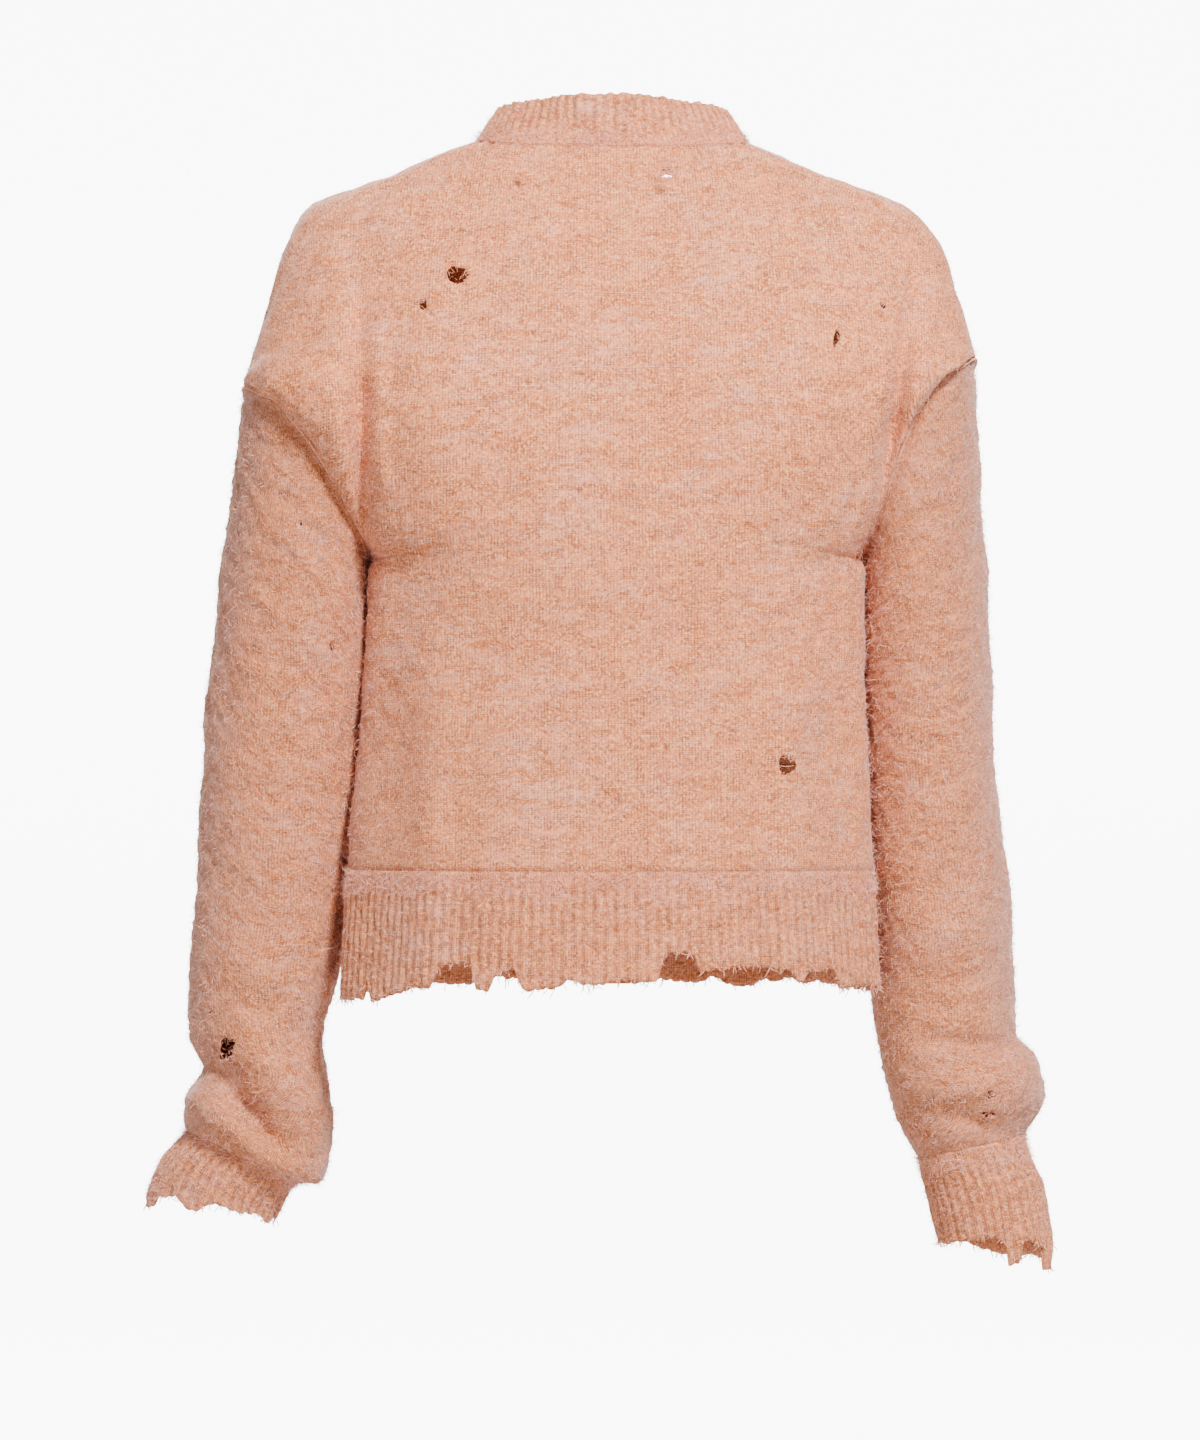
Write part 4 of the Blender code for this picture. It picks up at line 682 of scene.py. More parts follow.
# Each row: shift of the noise, grain long and tall, detail, distortion, and where its band starts and ends.
GRAINS = {
    "cover": (3.1, 0.0090, 0.0065, 3.0, 0.6, 0.38, 0.64),
    "patch": (6.3, 0.0048, 0.0040, 2.0, 0.8, 0.36, 0.60),
    "streak": (0.0, 0.0340, 0.0085, 4.0, 0.6, 0.38, 0.64),
    "clump": (2.2, 0.0085, 0.0062, 4.0, 1.2, 0.38, 0.62),
    "wisp": (7.7, 0.0170, 0.0060, 4.0, 0.9, 0.44, 0.70),
    "bits": (1.3, 0.0030, 0.0024, 3.0, 1.2, 0.46, 0.64),
}


def knitted(name, wale=WALE, dark=1.0, rib=0.0, purl=False, depth=0.00022, seed=0.0, painted_shade=0.0,
            outer_arm_shade=False, low=0.0):
    """Stitches as rows of V shapes in a melange yarn.

    A stitch's place along its column is shifted by its distance from the column's middle, which bends
    the row into a V. The gap between its legs is painted dark as shade, and loose fibres hide some of the
    gaps.
    """
    finish, tree, shader = new_finish(name)
    flat = add(tree, "ShaderNodeUVMap", uv_map="knit")
    u = add(tree, "ShaderNodeSeparateXYZ", {0: flat})
    v = u.node.outputs[1]
    place = add(tree, "ShaderNodeTexCoord", output=3)
    wander = add(tree, "ShaderNodeTexNoise", {"Vector": place, "Scale": WANDER_SCALE, "Detail": 1.0})
    drift = times(minus(wander, 0.5), WANDER)
    from_middle = from_half(calc("FRACT", calc("DIVIDE", plus(u, drift), wale)))
    lean = times(from_middle, PURL_LEAN if purl else PLAIN_LEAN)
    along = calc("FRACT", plus(calc("DIVIDE", plus(v, drift), COURSE), lean))
    # The painted shade of a stitch lies in the gap between its legs: the distance from it grows faster across
    # than along.
    squares = [calc("POWER", part, 2.0) for part in (times(from_middle, 1.25), from_half(along))]
    away = calc("SQRT", plus(*squares))
    stitch_shade = minus(1.0, band(away, 0.12, 0.46))
    cover, patch, streak, clump, wisp, bits = (
        band(grains(u, v, seed + shift, *grain), start, end) for shift, *grain, start, end in GRAINS.values())
    light = grains(u, v, seed + 4.9, 0.0019, 0.0016, 2.0, 0.6)
    cloud = band(add(tree, "ShaderNodeTexNoise", {"Vector": place, "Scale": 17.0, "Detail": 3.0}), 0.38, 0.66)
    # Fibres lie over the stitches and hide the painted shade of their gaps in patches.
    stitch_shade = times(stitch_shade, line_of(cover, -0.55, 1.0))
    stitch_shade = times(stitch_shade, line_of(patch, 0.70, 0.30))
    mixed = blend_colour(plus(times(clump, 0.55), times(streak, 0.45)), TAN, PEACH)
    pale = times(line_of(cloud, 0.45, 0.25), line_of(wisp, 0.7, times(streak, 0.3)))
    mixed = blend_colour(pale, mixed, LILAC)
    mixed = blend_colour(times(bits, 0.55), mixed, RUST_AND_VALLEY_SHADE)
    # Pale flecks: partly pale fibres of the melange, partly painted highlights where the fuzz catches light.
    mixed = blend_colour(times(band(light, 0.48, 0.66), 0.65), mixed, BRIGHT_FLECK_AND_HIGHLIGHT)
    # Painted shade in the gaps between the legs of each stitch.
    mixed = blend_colour(times(stitch_shade, min(0.90 * dark, 1.0)), mixed, PAINTED_SHADE_COLOUR)
    # Painted shade: the whole finish is blended darker by this amount, for cloth that turns from the light or
    # lies inside.
    mixed = blend_colour(painted_shade, mixed, PAINTED_SHADE_COLOUR)
    if low:
        # Painted shade: the colour is blended darker towards the hem.
        height = add(tree, "ShaderNodeSeparateXYZ", {0: place}, output=2)
        mixed = blend_colour(times(band(height, *HEM_SHADE), low), mixed, PAINTED_SHADE_COLOUR)
    if outer_arm_shade:
        # Painted shade: the colour is greyer and darker along the outer arm, where the sleeve turns from the
        # light and where both sleeve maps have their middle.
        beside = band(from_half(calc("FRACT", u)), *OUTER_ARM)
        mixed = blend_colour(times(beside, line_of(clump, 0.22, 0.10)), mixed, EDGE_SHADE_GREY)
    if rib:
        # Painted shade: the valleys between ribs are coloured darker, in broken stretches.
        rib_shade_mask = add(tree, "ShaderNodeAttribute", attribute_name="rib_shade_mask", output=2)
        valley = line_of(calc("COSINE", times(u, 2.0 * math.pi / rib)), -0.5, 0.5)
        painted_valley_shade = times(calc("POWER", valley, 1.6), times(rib_shade_mask, line_of(patch, 0.42, 0.16)))
        mixed = blend_colour(painted_valley_shade, mixed, RUST_AND_VALLEY_SHADE)
    relief = minus(times(plus(light, bits), 0.7), stitch_shade)
    bump = add(tree, "ShaderNodeBump", {"Height": relief, "Strength": 0.6, "Distance": depth})
    tree.links.new(mixed, shader.inputs["Base Color"])
    tree.links.new(bump, shader.inputs["Normal"])
    shader.inputs["Roughness"].default_value = 0.92
    shader.inputs["Specular IOR Level"].default_value = 0.15
    shader.inputs["Sheen Weight"].default_value = 0.20
    shader.inputs["Sheen Roughness"].default_value = 0.45
    shader.inputs["Sheen Tint"].default_value = SHEEN_TINT
    return finish


# Painted shade: the sleeves, the inside and the ribs are darker copies of the same knit, and the body darkens
# towards the hem.
mohair = knitted("brushed_mohair", low=0.17)
shaded_sleeve_mohair = knitted("shaded_sleeve_mohair", seed=11.0, painted_shade=0.25, outer_arm_shade=True)
mohair_inside = knitted("mohair_inside", dark=1.1, purl=True, seed=5.0, painted_shade=0.12)
ribbed = knitted("ribbed_mohair", wale=RIB_WALE, dark=1.05, rib=RIB_PITCH, depth=0.00025, seed=2.0,
                 painted_shade=0.14)
neck_ribbed = knitted("neck_rib_mohair", wale=RIB_WALE, dark=0.5, rib=RIB_PITCH, seed=3.0)
ribbed_inside = knitted("rib_inside", wale=RIB_WALE, dark=0.8, purl=True, seed=8.0, painted_shade=0.05)
print("finishes:", [finish.name for finish in (mohair, shaded_sleeve_mohair, mohair_inside)],
      [finish.name for finish in (ribbed, neck_ribbed, ribbed_inside)])

# %% [markdown]
# ## Back panel
# The back is one knitted piece with dropped shoulders. Its edges dip slightly where they are sewn, which
# shows every seam as a soft line, and the slack of the loose knit is added along the outward direction.
# The outer and inner grids differ by the wall alone, because plain knitting is as thick everywhere.

# %% Knitted panels
SEAM_RIDGE, RIDGE_WIDTH = 0.0004, 0.0020
SEAM_CREASE, CREASE_AWAY, CREASE_WIDTH = 0.0016, 0.0058, 0.0030
STILL_NEAR_RIB, STILL_NEAR_SEAM = 0.020, 0.006
# Each row: wave length, rise and seed, from the coarse slack to the fine bobble.
SLACK = ((0.060, 0.00070, 11), (0.021, 0.00040, 12), (0.0095, 0.00025, 13))


def beside_seam(distance):
    """Height of the cloth beside a seam: a bell curve at the seam less a deeper one beside it."""
    crease = SEAM_CREASE * np.exp(-((distance - CREASE_AWAY) / CREASE_WIDTH) ** 2)
    return SEAM_RIDGE * np.exp(-(distance / RIDGE_WIDTH) ** 2) - crease


def loosened(grid, out, distances=(), quiet=()):
    """A grid with the slack of a loose knit, shaped along its seams and still at its ribbed joins."""
    rise = sum(slack(grid, *row) for row in SLACK)
    for distance in quiet:
        rise = rise * smooth(distance / STILL_NEAR_RIB)
    for distance in distances:
        rise = rise * smooth(distance / STILL_NEAR_SEAM + 0.5) + beside_seam(distance)
    return grid + out * rise[..., None]


def knit_panel(name, grid, out, flat, distances, node):
    """A panel of plain knitting as a closed shell that replaces its solids."""
    up = stations(grid, 0)
    outer = loosened(grid, out, distances, (up, up[-1:] - up))
    piece = shell(name, outer, outer - WALL * out, flat, (mohair, mohair_inside))
    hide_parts(node)
    return piece, outer


reach = stations(back_grid, 1)
sides_of_back = (reach, reach[:, -1:] - reach)
back, back_outer = knit_panel("back_panel", back_grid, back_out, back_flat, sides_of_back, "back")
print("back panel:", len(back.data.polygons), "faces")

# %% Fronts
def stand_off(grid, out, side):
    """Lifts the wearer's right front near the middle, so that its band can lie over the left one."""
    if side == LEFT:
        return grid
    amount = OVERLAP_RISE * smooth(1.0 - (np.abs(grid[..., :1]) - BAND_WIDTH / 2) / OVERLAP_BLEND)
    return grid + out * amount * (grid[..., 1:2] < 0)


FRONT_STEPS = 60
front_steps = np.linspace(0.0, 1.0, FRONT_STEPS + 1)[None, :]
fronts, front_outers, front_outs, front_grids = {}, {}, {}, {}
for side in (LEFT, RIGHT):
    grid = panel(side, FRONT, ROWS, math.pi - front_steps * (math.pi - SEAM_TURN))
    grid = stand_off(grid, normals(grid, core(side)), side)
    out = normals(grid, core(side))
    flat = flat_map(grid, out, FRONT, 1.0 + side * 0.2)
    name = SIDES[side] + "_front"
    front_grids[side], front_outs[side] = grid, out
    reach = stations(grid, 1)
    fronts[side], front_outers[side] = knit_panel(
        name + "_panel", grid, out, flat, (reach[:, -1:] - reach,), name)
    print(name, "flat", np.ptp(flat, axis=(0, 1)).round(3), "m wide and long")

# %% [markdown]
# ## Sleeves
# Each sleeve is one tube. Its map starts at the outer arm and runs both ways to the seam under the arm,
# where the stitches of a shaped sleeve run out. The fibres stand up in small tufts, so the sleeve's
# outline is bobbly; a finer slack on the grid gives that outline, which bump alone could not.

# %% Sleeve tubes
SLEEVE_AROUND, SLEEVE_ALONG = 120, 170
BOBBLE_WAVE, BOBBLE_RISE = 0.0085, 0.00055
sleeves, sleeve_outers, sleeve_outs = {}, {}, {}
for side in (LEFT, RIGHT):
    turn = math.pi + np.linspace(0.0, 2.0 * math.pi, SLEEVE_AROUND + 1)
    along = np.linspace(0.0, 1.0, SLEEVE_ALONG + 1)[:, None]
    tube = sleeve_ring(side, along, turn[None, :])
    grid = tube[:, :-1]
    out = normals(grid, grid.mean(axis=1, keepdims=True), closed=True)
    down = stations(grid, 0)
    outer = loosened(grid, out, (down,), (down[-1:] - down,))
    still = (smooth(along / 0.03) * smooth((1.0 - along) / 0.04))[..., None]
    outer = outer + out * slack(grid, BOBBLE_WAVE, BOBBLE_RISE, 20 + side)[..., None] * still
    u = stations(tube, 1)
    u = u - u[:, SLEEVE_AROUND // 2:SLEEVE_AROUND // 2 + 1]
    v = stations(tube, 0)
    flat = np.stack([u, v[-1:] - v], axis=-1) + 2.0 + 0.5 * side
    name = SIDES[side] + "_sleeve"
    piece = shell(name, outer, outer - WALL * out, flat, (shaded_sleeve_mohair, mohair_inside), closed=True)
    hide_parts(name + "_behind", name + "_before")
    sleeves[side], sleeve_outers[side], sleeve_outs[side] = piece, outer, out
    print(name, len(piece.data.polygons), "faces,", round(float(v[-1].mean()), 3), "m long,",
          round(float(np.ptp(u[40])), 3), "m round")

# %% [markdown]
# ## Ribbed cuffs, welts and neckband
# Ribs are columns of stitches that stand forward by turns. Here they are real waves of the outer face over
# a plain inner face: the rise is a raised cosine of the length across the rib. Worn ribs wander a little,
# so each row's phase is shifted by slow noise. Torn edges are steps and notches of a few stitches: a short
# table gives the large ones, and a random walk with a fixed seed gives the frayed stitches between them.

# %% Rib waves and torn edges
RIB_COLUMNS_EACH = 6
RIB_START = 0.016
RIB_SLACK = ((0.012, 0.00030, 31), (0.0045, 0.00016, 32))
TORN_COLUMNS = ("x", "edge")
BACK_TORN = (
    (-0.166, -0.5284), (-0.145, -0.5265), (-0.141, -0.5166), (-0.124, -0.5176), (-0.119, -0.5225),
    (-0.100, -0.5146), (-0.058, -0.5156), (-0.054, -0.5048), (-0.036, -0.5058), (-0.031, -0.5215),
    (-0.020, -0.5225), (0.052, -0.5274), (0.058, -0.5156), (0.069, -0.5166), (0.074, -0.5284),
    (0.081, -0.5274), (0.084, -0.5137), (0.105, -0.5146), (0.111, -0.5265), (0.128, -0.5304),
    (0.146, -0.5353), (0.149, -0.5215), (0.152, -0.5363), (0.166, -0.5343),
)
FRONT_TORN = (
    (-0.166, -0.5310), (-0.120, -0.5260), (-0.090, -0.5300), (-0.050, -0.5270), (0.000, -0.5290),
    (0.060, -0.5270), (0.100, -0.5300), (0.130, -0.5250), (0.166, -0.5370),
)
FRAY_COLUMNS = ("angle", "left", "right")
FRAY = (
    (0.0, 0.0010, -0.0040), (8.0, -0.0050, -0.0060), (12.0, -0.0065, -0.0150), (28.0, -0.0050, -0.0160),
    (33.0, 0.0015, -0.0030), (50.0, 0.0010, 0.0010), (64.0, 0.0000, 0.0020), (68.0, -0.0015, -0.0140),
    (79.0, -0.0040, -0.0150), (83.0, -0.0020, 0.0000), (92.0, 0.0010, 0.0000), (130.0, 0.0020, -0.0030),
    (150.0, -0.0020, -0.0045), (180.0, 0.0000, -0.0040), (230.0, 0.0010, -0.0040), (290.0, 0.0020, -0.0100),
    (335.0, 0.0010, -0.0110), (360.0, 0.0010, -0.0040),
)


def frayed(length, step, rise, seed):
    """A random walk along an edge: a new height every few millimetres, joined by short slopes."""
    chance = np.random.default_rng(seed)
    low = float(np.min(length))
    knots = np.arange(low, float(np.max(length)) + step, step) + chance.uniform(-0.3, 0.3) * step
    heights = chance.normal(0.0, rise, len(knots)) + (chance.random(len(knots)) < 0.12) * rise * 2.2
    return np.interp(length, knots, heights)


def soft_frayed(length, seed):
    """Rounded loops along a torn edge: each rib hangs as a small bow, over a slow and a fine walk."""
    bows = -0.0011 * np.abs(np.sin(math.pi * length / RIB_PITCH)) ** 0.7
    return bows + frayed(length, 0.0085, 0.0011, seed) + frayed(length, 0.0021, 0.00022, seed + 7)


def rib_wave(u, v):
    """Rise of the ribs: a raised cosine across them, with its crest wandering by up to half a millimetre."""
    wander = 0.0005 * np.sin(v * 310.0 + u * 95.0) + 0.0004 * np.sin(v * 120.0 - u * 47.0)
    return RIB_RISE * (0.5 + 0.5 * np.cos(2.0 * math.pi * (u + wander) / RIB_PITCH)) ** 0.8


def ribbed_piece(name, grid, out, u, v, node, closed=False, wall=RIB_WALL, outside=ribbed, blended=True):
    """A ribbed band as a closed shell: waves outside, plain inside. Where it is blended, they rise slowly."""
    join = smooth(stations(grid, 0) / RIB_START) if blended else np.ones(grid.shape[:2])
    wave = rib_wave(u, v)
    wide = wave[:, :-1] if closed else wave
    lift = wide + slack(grid, *RIB_SLACK[0]) + slack(grid, *RIB_SLACK[1])
    raised = grid + out * (lift * join)[..., None]
    flat = np.stack([u, v], axis=-1)
    piece = shell(name, raised, grid - wall * out, flat, (outside, ribbed_inside), closed)
    # Where the ribs stand up, the finish paints shade in their valleys.
    rib_shade_mask = piece.data.attributes.new("rib_shade_mask", "FLOAT", "POINT")
    rib_shade_mask.data.foreach_set("value", np.tile(join.ravel(), 2).astype(np.float32))
    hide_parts(node)
    return piece, raised


print("frayed stitches vary by", frayed(np.linspace(0, 0.3, 100), 0.0032, 0.0012, 1).std().round(5), "m")

# %% Cuffs
CUFF_STEPS = 26
cuffs, cuff_outers, cuff_outs = {}, {}, {}


def ring_plane(side, along):
    """Direction down a sleeve, square to the plane of its ring."""
    ring = sleeve_ring(side, along, np.array([0.0, math.pi / 2, math.pi]))
    square = unit(np.cross(ring[0] - ring[2], np.array([0.0, 1.0, 0.0])))
    return square * -np.sign(square[2])


for side in (LEFT, RIGHT):
    fine_turn = math.pi + np.linspace(0.0, 2.0 * math.pi, 721)
    reach = lengths(sleeve_ring(side, 1.0, fine_turn))
    ribs = round(float(reach[-1]) / RIB_PITCH)
    columns = ribs * RIB_COLUMNS_EACH
    at = np.linspace(0.0, reach[-1], columns + 1)
    turn = np.interp(at, reach, fine_turn)
    part = np.linspace(0.0, 1.0, CUFF_STEPS + 1)[:, None]
    tube = sleeve_ring(side, 1.0 + part, turn[None, :])
    short = read(FRAY, FRAY_COLUMNS, SIDES[side], np.degrees(turn) % 360.0) + soft_frayed(at, 41)
    short[-1] = short[0]
    tube = tube - ring_plane(side, 2.0) * (part ** 2 * short[None, :])[..., None]
    grid = tube[:, :-1]
    out = normals(grid, grid.mean(axis=1, keepdims=True), closed=True)
    u = np.broadcast_to(np.linspace(0.0, ribs * RIB_PITCH, columns + 1)[None, :], tube.shape[:2])
    v = stations(tube, 0).max() - stations(tube, 0)
    name = SIDES[side] + "_cuff"
    cuffs[side], cuff_outers[side] = ribbed_piece(name + "_rib", grid, out, u, v + 0.3, name, closed=True)
    cuff_outs[side] = out
    print(name, ribs, "ribs,", round(float(reach[-1]), 3), "m round")

# %% Welts
WELT_STEPS = 26


def welt_line(side, facing, height):
    """The trunk's section at a height, from its middle to the side seam."""
    turn = np.linspace(0.0, math.pi / 2, 181)
    line = panel(side, facing, np.zeros(181), turn if facing == BACK else math.pi - turn)
    middle = "back" if facing == BACK else "front"
    width, depth = (float(read(*table, height) / read(*table, RIB_TOP)) for table in (
        (TRUNK, TRUNK_COLUMNS, SIDES[side]), (PROFILE, PROFILE_COLUMNS, middle)))
    start = 0.0 if facing == BACK else BAND_WIDTH / 2
    line[:, 0] = side * (start + (np.abs(line[:, 0]) - start) * width)
    line[:, 1] *= depth
    line[:, 2] = height
    return line


def along_line(line, count):
    """Points at equal steps along a line of points."""
    reach = lengths(line)
    return follow(line, reach, np.linspace(0.0, reach[-1], count + 1))


def welt(sections, torn, seed):
    """Grid of a welt from its join down to its torn edge, with its map."""
    ribs = round(float(lengths(sections[0])[-1]) / RIB_PITCH)
    columns = ribs * RIB_COLUMNS_EACH
    top_line, foot_line = (along_line(line, columns) for line in sections)
    u = np.linspace(0.0, ribs * RIB_PITCH, columns + 1)
    torn_z = read_straight(torn, TORN_COLUMNS, "edge", foot_line[:, 0]) + soft_frayed(u, seed)
    part = np.linspace(0.0, 1.0, WELT_STEPS + 1)[:, None]
    z = RIB_TOP + (torn_z[None, :] - RIB_TOP) * part
    fall = np.clip((z - RIB_TOP) / (WELT_BOTTOM - RIB_TOP), 0.0, 1.1)[..., None]
    grid = top_line[None] + (foot_line - top_line)[None] * fall
    grid[..., 2] = z
    return grid, np.broadcast_to(u[None, :], z.shape), z - WELT_BOTTOM + 0.1


sections = [np.concatenate([welt_line(LEFT, BACK, height)[::-1], welt_line(RIGHT, BACK, height)[1:]])
            for height in (RIB_TOP, WELT_BOTTOM)]
grid, u, v = welt(sections, BACK_TORN, 51)
hem_out = normals(grid, (0.0, 0.0, RIB_TOP))
back_hem, back_hem_outer = ribbed_piece("back_welt", grid, hem_out, u, v, "back_hem_rib")
front_hems, front_hem_outers, front_hem_outs = {}, {}, {}
for side in (LEFT, RIGHT):
    sections = [welt_line(side, FRONT, height) for height in (RIB_TOP, WELT_BOTTOM)]
    grid, u, v = welt(sections, FRONT_TORN, 52 + side)
    out = normals(grid, (0.0, 0.0, RIB_TOP))
    grid = stand_off(grid, out, side)
    name = SIDES[side] + "_front"
    front_hems[side], front_hem_outers[side] = ribbed_piece(
        name + "_welt", grid, out, u, v + 0.2, name + "_hem_rib")
    front_hem_outs[side] = out
print("back welt:", len(back_hem.data.polygons), "faces; edge from",
      back_hem_outer[-1, :, 2].min().round(4), "to", back_hem_outer[-1, :, 2].max().round(4))

# %% Neckband
NECKBAND_LEAN, SIDE_LEAN, BACK_LEAN = 0.43, 0.30, 0.28
BACK_TALLER, SIDE_SHORTER = 0.10, 0.16
NECK_MIDDLE_Y = -0.0120
NECKBAND_STEPS = 14


def round_neck(of_fronts, of_back):
    """The top rows of the three panels, joined round the neck from the left front to the right one."""
    return np.concatenate([of_fronts[LEFT][-1][:-1], of_back[-1], of_fronts[RIGHT][-1][::-1][1:]])


base = round_neck(front_grids, back_grid)
reach = lengths(base)
ribs = round(float(reach[-1]) / RIB_PITCH)
wanted = np.linspace(0.0, reach[-1], ribs * RIB_COLUMNS_EACH + 1)
foot = follow(base, reach, wanted)
foot_out = unit(follow(round_neck(front_outs, back_out), reach, wanted))
inward = unit(np.stack([-np.sign(foot[:, 0]) * np.maximum(np.abs(foot[:, 0]) - BAND_WIDTH / 2, 0.0),
                        NECK_MIDDLE_Y - foot[:, 1], np.zeros(len(foot))], axis=1))
to_side, to_back = np.abs(inward[:, 0]), smooth(foot[:, 1] / 0.05)
lean = NECKBAND_LEAN + SIDE_LEAN * to_side - BACK_LEAN * to_back * (1.0 - to_side)
rise = unit(inward * lean[:, None] + np.array([0.0, 0.0, 1.0]))
rise[0] = rise[-1] = unit(np.array(FRONT_RISE))
shorter = SIDE_SHORTER * smooth(to_side / 0.9) * (1.0 - 0.5 * to_back)
tall = NECKBAND_HEIGHT * (1.0 + BACK_TALLER * to_back - shorter)
tall[0] = tall[-1] = NECKBAND_HEIGHT
tall = tall + frayed(wanted, 0.0036, 0.0004, 61)
part = np.linspace(0.0, 1.0, NECKBAND_STEPS + 1)[:, None]
grid = foot[None] + rise[None] * (tall[None, :] * part)[..., None]
turn_over = smooth(part / 0.4)[..., None]
neck_outs = unit(normals(grid, (0.0, 0.0, 0.0)) * turn_over + foot_out[None] * (1.0 - turn_over))
u = np.broadcast_to(np.linspace(0.0, ribs * RIB_PITCH, len(wanted))[None, :], grid.shape[:2])
v = part * NECKBAND_HEIGHT + u * 0.0 + 0.6
neckband, neckband_outer = ribbed_piece(
    "neckband_rib", grid, neck_outs, u, v, "neckband", outside=neck_ribbed)
print("neckband:", ribs, "ribs,", round(float(reach[-1]), 3), "m along its foot")

# %% Front bands
FRONT_BAND_STEPS = 150
throat = float(read(MIDDLE, MIDDLE_COLUMNS, "front", 3.0))
band_z = np.linspace(WELT_BOTTOM - 0.002, throat, FRONT_BAND_STEPS)
path = np.stack([np.zeros_like(band_z), read(PROFILE, PROFILE_COLUMNS, "front", band_z), band_z], axis=1)
up = unit(np.array(FRONT_RISE)) * NECKBAND_HEIGHT
path = np.concatenate([path, path[-1] + up * np.linspace(0.1, 1.0, 10)[:, None]])
way = unit(np.gradient(path, axis=0))
path_out = np.stack([np.zeros(len(path)), -way[:, 2], way[:, 1]], axis=1)
path_reach = lengths(path)
bands = {}
for side, wall, level, columns in ((LEFT, WALL, 0.0, 24), (RIGHT, OVER_WALL, OVERLAP_RISE, 40)):
    x = side * np.linspace(BAND_WIDTH / 2, -BAND_WIDTH / 2, columns + 1)
    grid = np.broadcast_to(path[:, None, :], (len(path), columns + 1, 3)).copy()
    grid[..., 0] = x[None, :]
    out = np.broadcast_to(path_out[:, None, :], grid.shape).copy()
    grid = grid + out * level
    ribs = round(BAND_WIDTH / RIB_PITCH)
    u = np.linspace(RIB_PITCH / 2, (ribs + 0.5) * RIB_PITCH, columns + 1)
    u = np.broadcast_to(u[None, :], grid.shape[:2])
    v = np.broadcast_to(path_reach[:, None], grid.shape[:2])
    name = SIDES[side] + "_button_band"
    bands[side], _ = ribbed_piece(name + "_rib", grid, out, u, v + 0.8, name, wall=wall, blended=False)
    print(name, "is", round(float(path_reach[-1]), 3), "m long")

# %% [markdown]
# ## Buttons
# A horn button is turned on a lathe: a profile carried round an axis, then four holes drilled through it.
# The holes are cut with one joined tool of four pegs. One button is made flat at the origin, and six
# copies of its mesh are carried to their places on the band, each turned a little differently, as sewn
# buttons are. Two crossed strands of yarn hold each one.

# %% Horn and yarn finishes
def plain_finish(name, first, second, grain, roughness, sheen=0.0):
    """A finish of two colours in soft grains, with a little relief."""
    finish, tree, shader = new_finish(name)
    place = add(tree, "ShaderNodeTexCoord", output=3)
    noise = {"Vector": place, "Scale": grain, "Detail": 4.0, "Distortion": 1.2}
    noise = add(tree, "ShaderNodeTexNoise", noise)
    tree.links.new(blend_colour(band(noise, 0.35, 0.65), first, second), shader.inputs["Base Color"])
    bump = add(tree, "ShaderNodeBump", {"Height": noise, "Strength": 0.4, "Distance": 0.0002})
    tree.links.new(bump, shader.inputs["Normal"])
    shader.inputs["Roughness"].default_value = roughness
    shader.inputs["Sheen Weight"].default_value = sheen
    return finish


horn = plain_finish("turned_horn", colour(92, 58, 38), colour(150, 104, 70), 260.0, 0.32)
yarn = plain_finish("mohair_yarn", colour(186, 104, 66), colour(230, 158, 132), 900.0, 0.9, 0.3)
ridge_yarn = plain_finish("ridge_yarn", colour(190, 110, 76), colour(226, 152, 124), 520.0, 0.95, 0.2)
seam_yarn = plain_finish("seam_yarn", colour(184, 108, 76), colour(224, 156, 132), 700.0, 0.9, 0.3)
print("button finish:", horn.name)

# %% Turned buttons with sewing holes
BUTTON_RADIUS, BUTTON_THICKNESS, HOLE_RADIUS, HOLE_SPACING = 0.0090, 0.0030, 0.0009, 0.0020
BUTTON_AROUND, PEG_AROUND = 64, 20
BUTTON_HEIGHTS = (-0.105, -0.186, -0.267, -0.348, -0.429, -0.508)
BUTTON_LIFT = 0.0004
THREAD_RADIUS, THREADS_APART = 0.00028, 0.00022
SLIT_HALF_LENGTH, SLIT_HALF_WIDTH, SLIT_YARN_RADIUS = 0.0112, 0.0022, 0.00055
BUTTON_PROFILE = (
    (0.00, 0.00), (0.80, 0.00), (0.93, 0.06), (0.99, 0.25), (1.00, 0.50), (0.98, 0.80), (0.93, 0.97),
    (0.86, 1.00), (0.79, 0.93), (0.72, 0.74), (0.64, 0.63), (0.50, 0.58), (0.25, 0.56), (0.00, 0.56),
)


def turned(profile, around):
    """A profile of radius and height carried round an axis; both ends close in a fan of thin triangles."""
    angle = np.linspace(0.0, 2.0 * math.pi, around, endpoint=False)
    radius, height = np.array(profile[1:-1]).T
    ring = np.stack([radius[:, None] * np.cos(angle), radius[:, None] * np.sin(angle),
                     np.broadcast_to(height[:, None], (len(radius), around))], axis=-1)
    spots = np.concatenate([ring.reshape(-1, 3), [[0.0, 0.0, profile[0][1]], [0.0, 0.0, profile[-1][1]]]])
    number = np.arange(len(radius) * around).reshape(len(radius), around)
    beside = np.roll(number, -1, axis=1)
    quads = np.stack([number[:-1], beside[:-1], beside[1:], number[1:]], -1).reshape(-1, 4)
    low, high = len(spots) - 2, len(spots) - 1
    foot = np.stack([np.full(around, low), beside[0], number[0]], -1)
    top = np.stack([np.full(around, high), number[-1], beside[-1]], -1)
    return spots, [tuple(map(int, face)) for part in (quads, foot, top) for face in part]


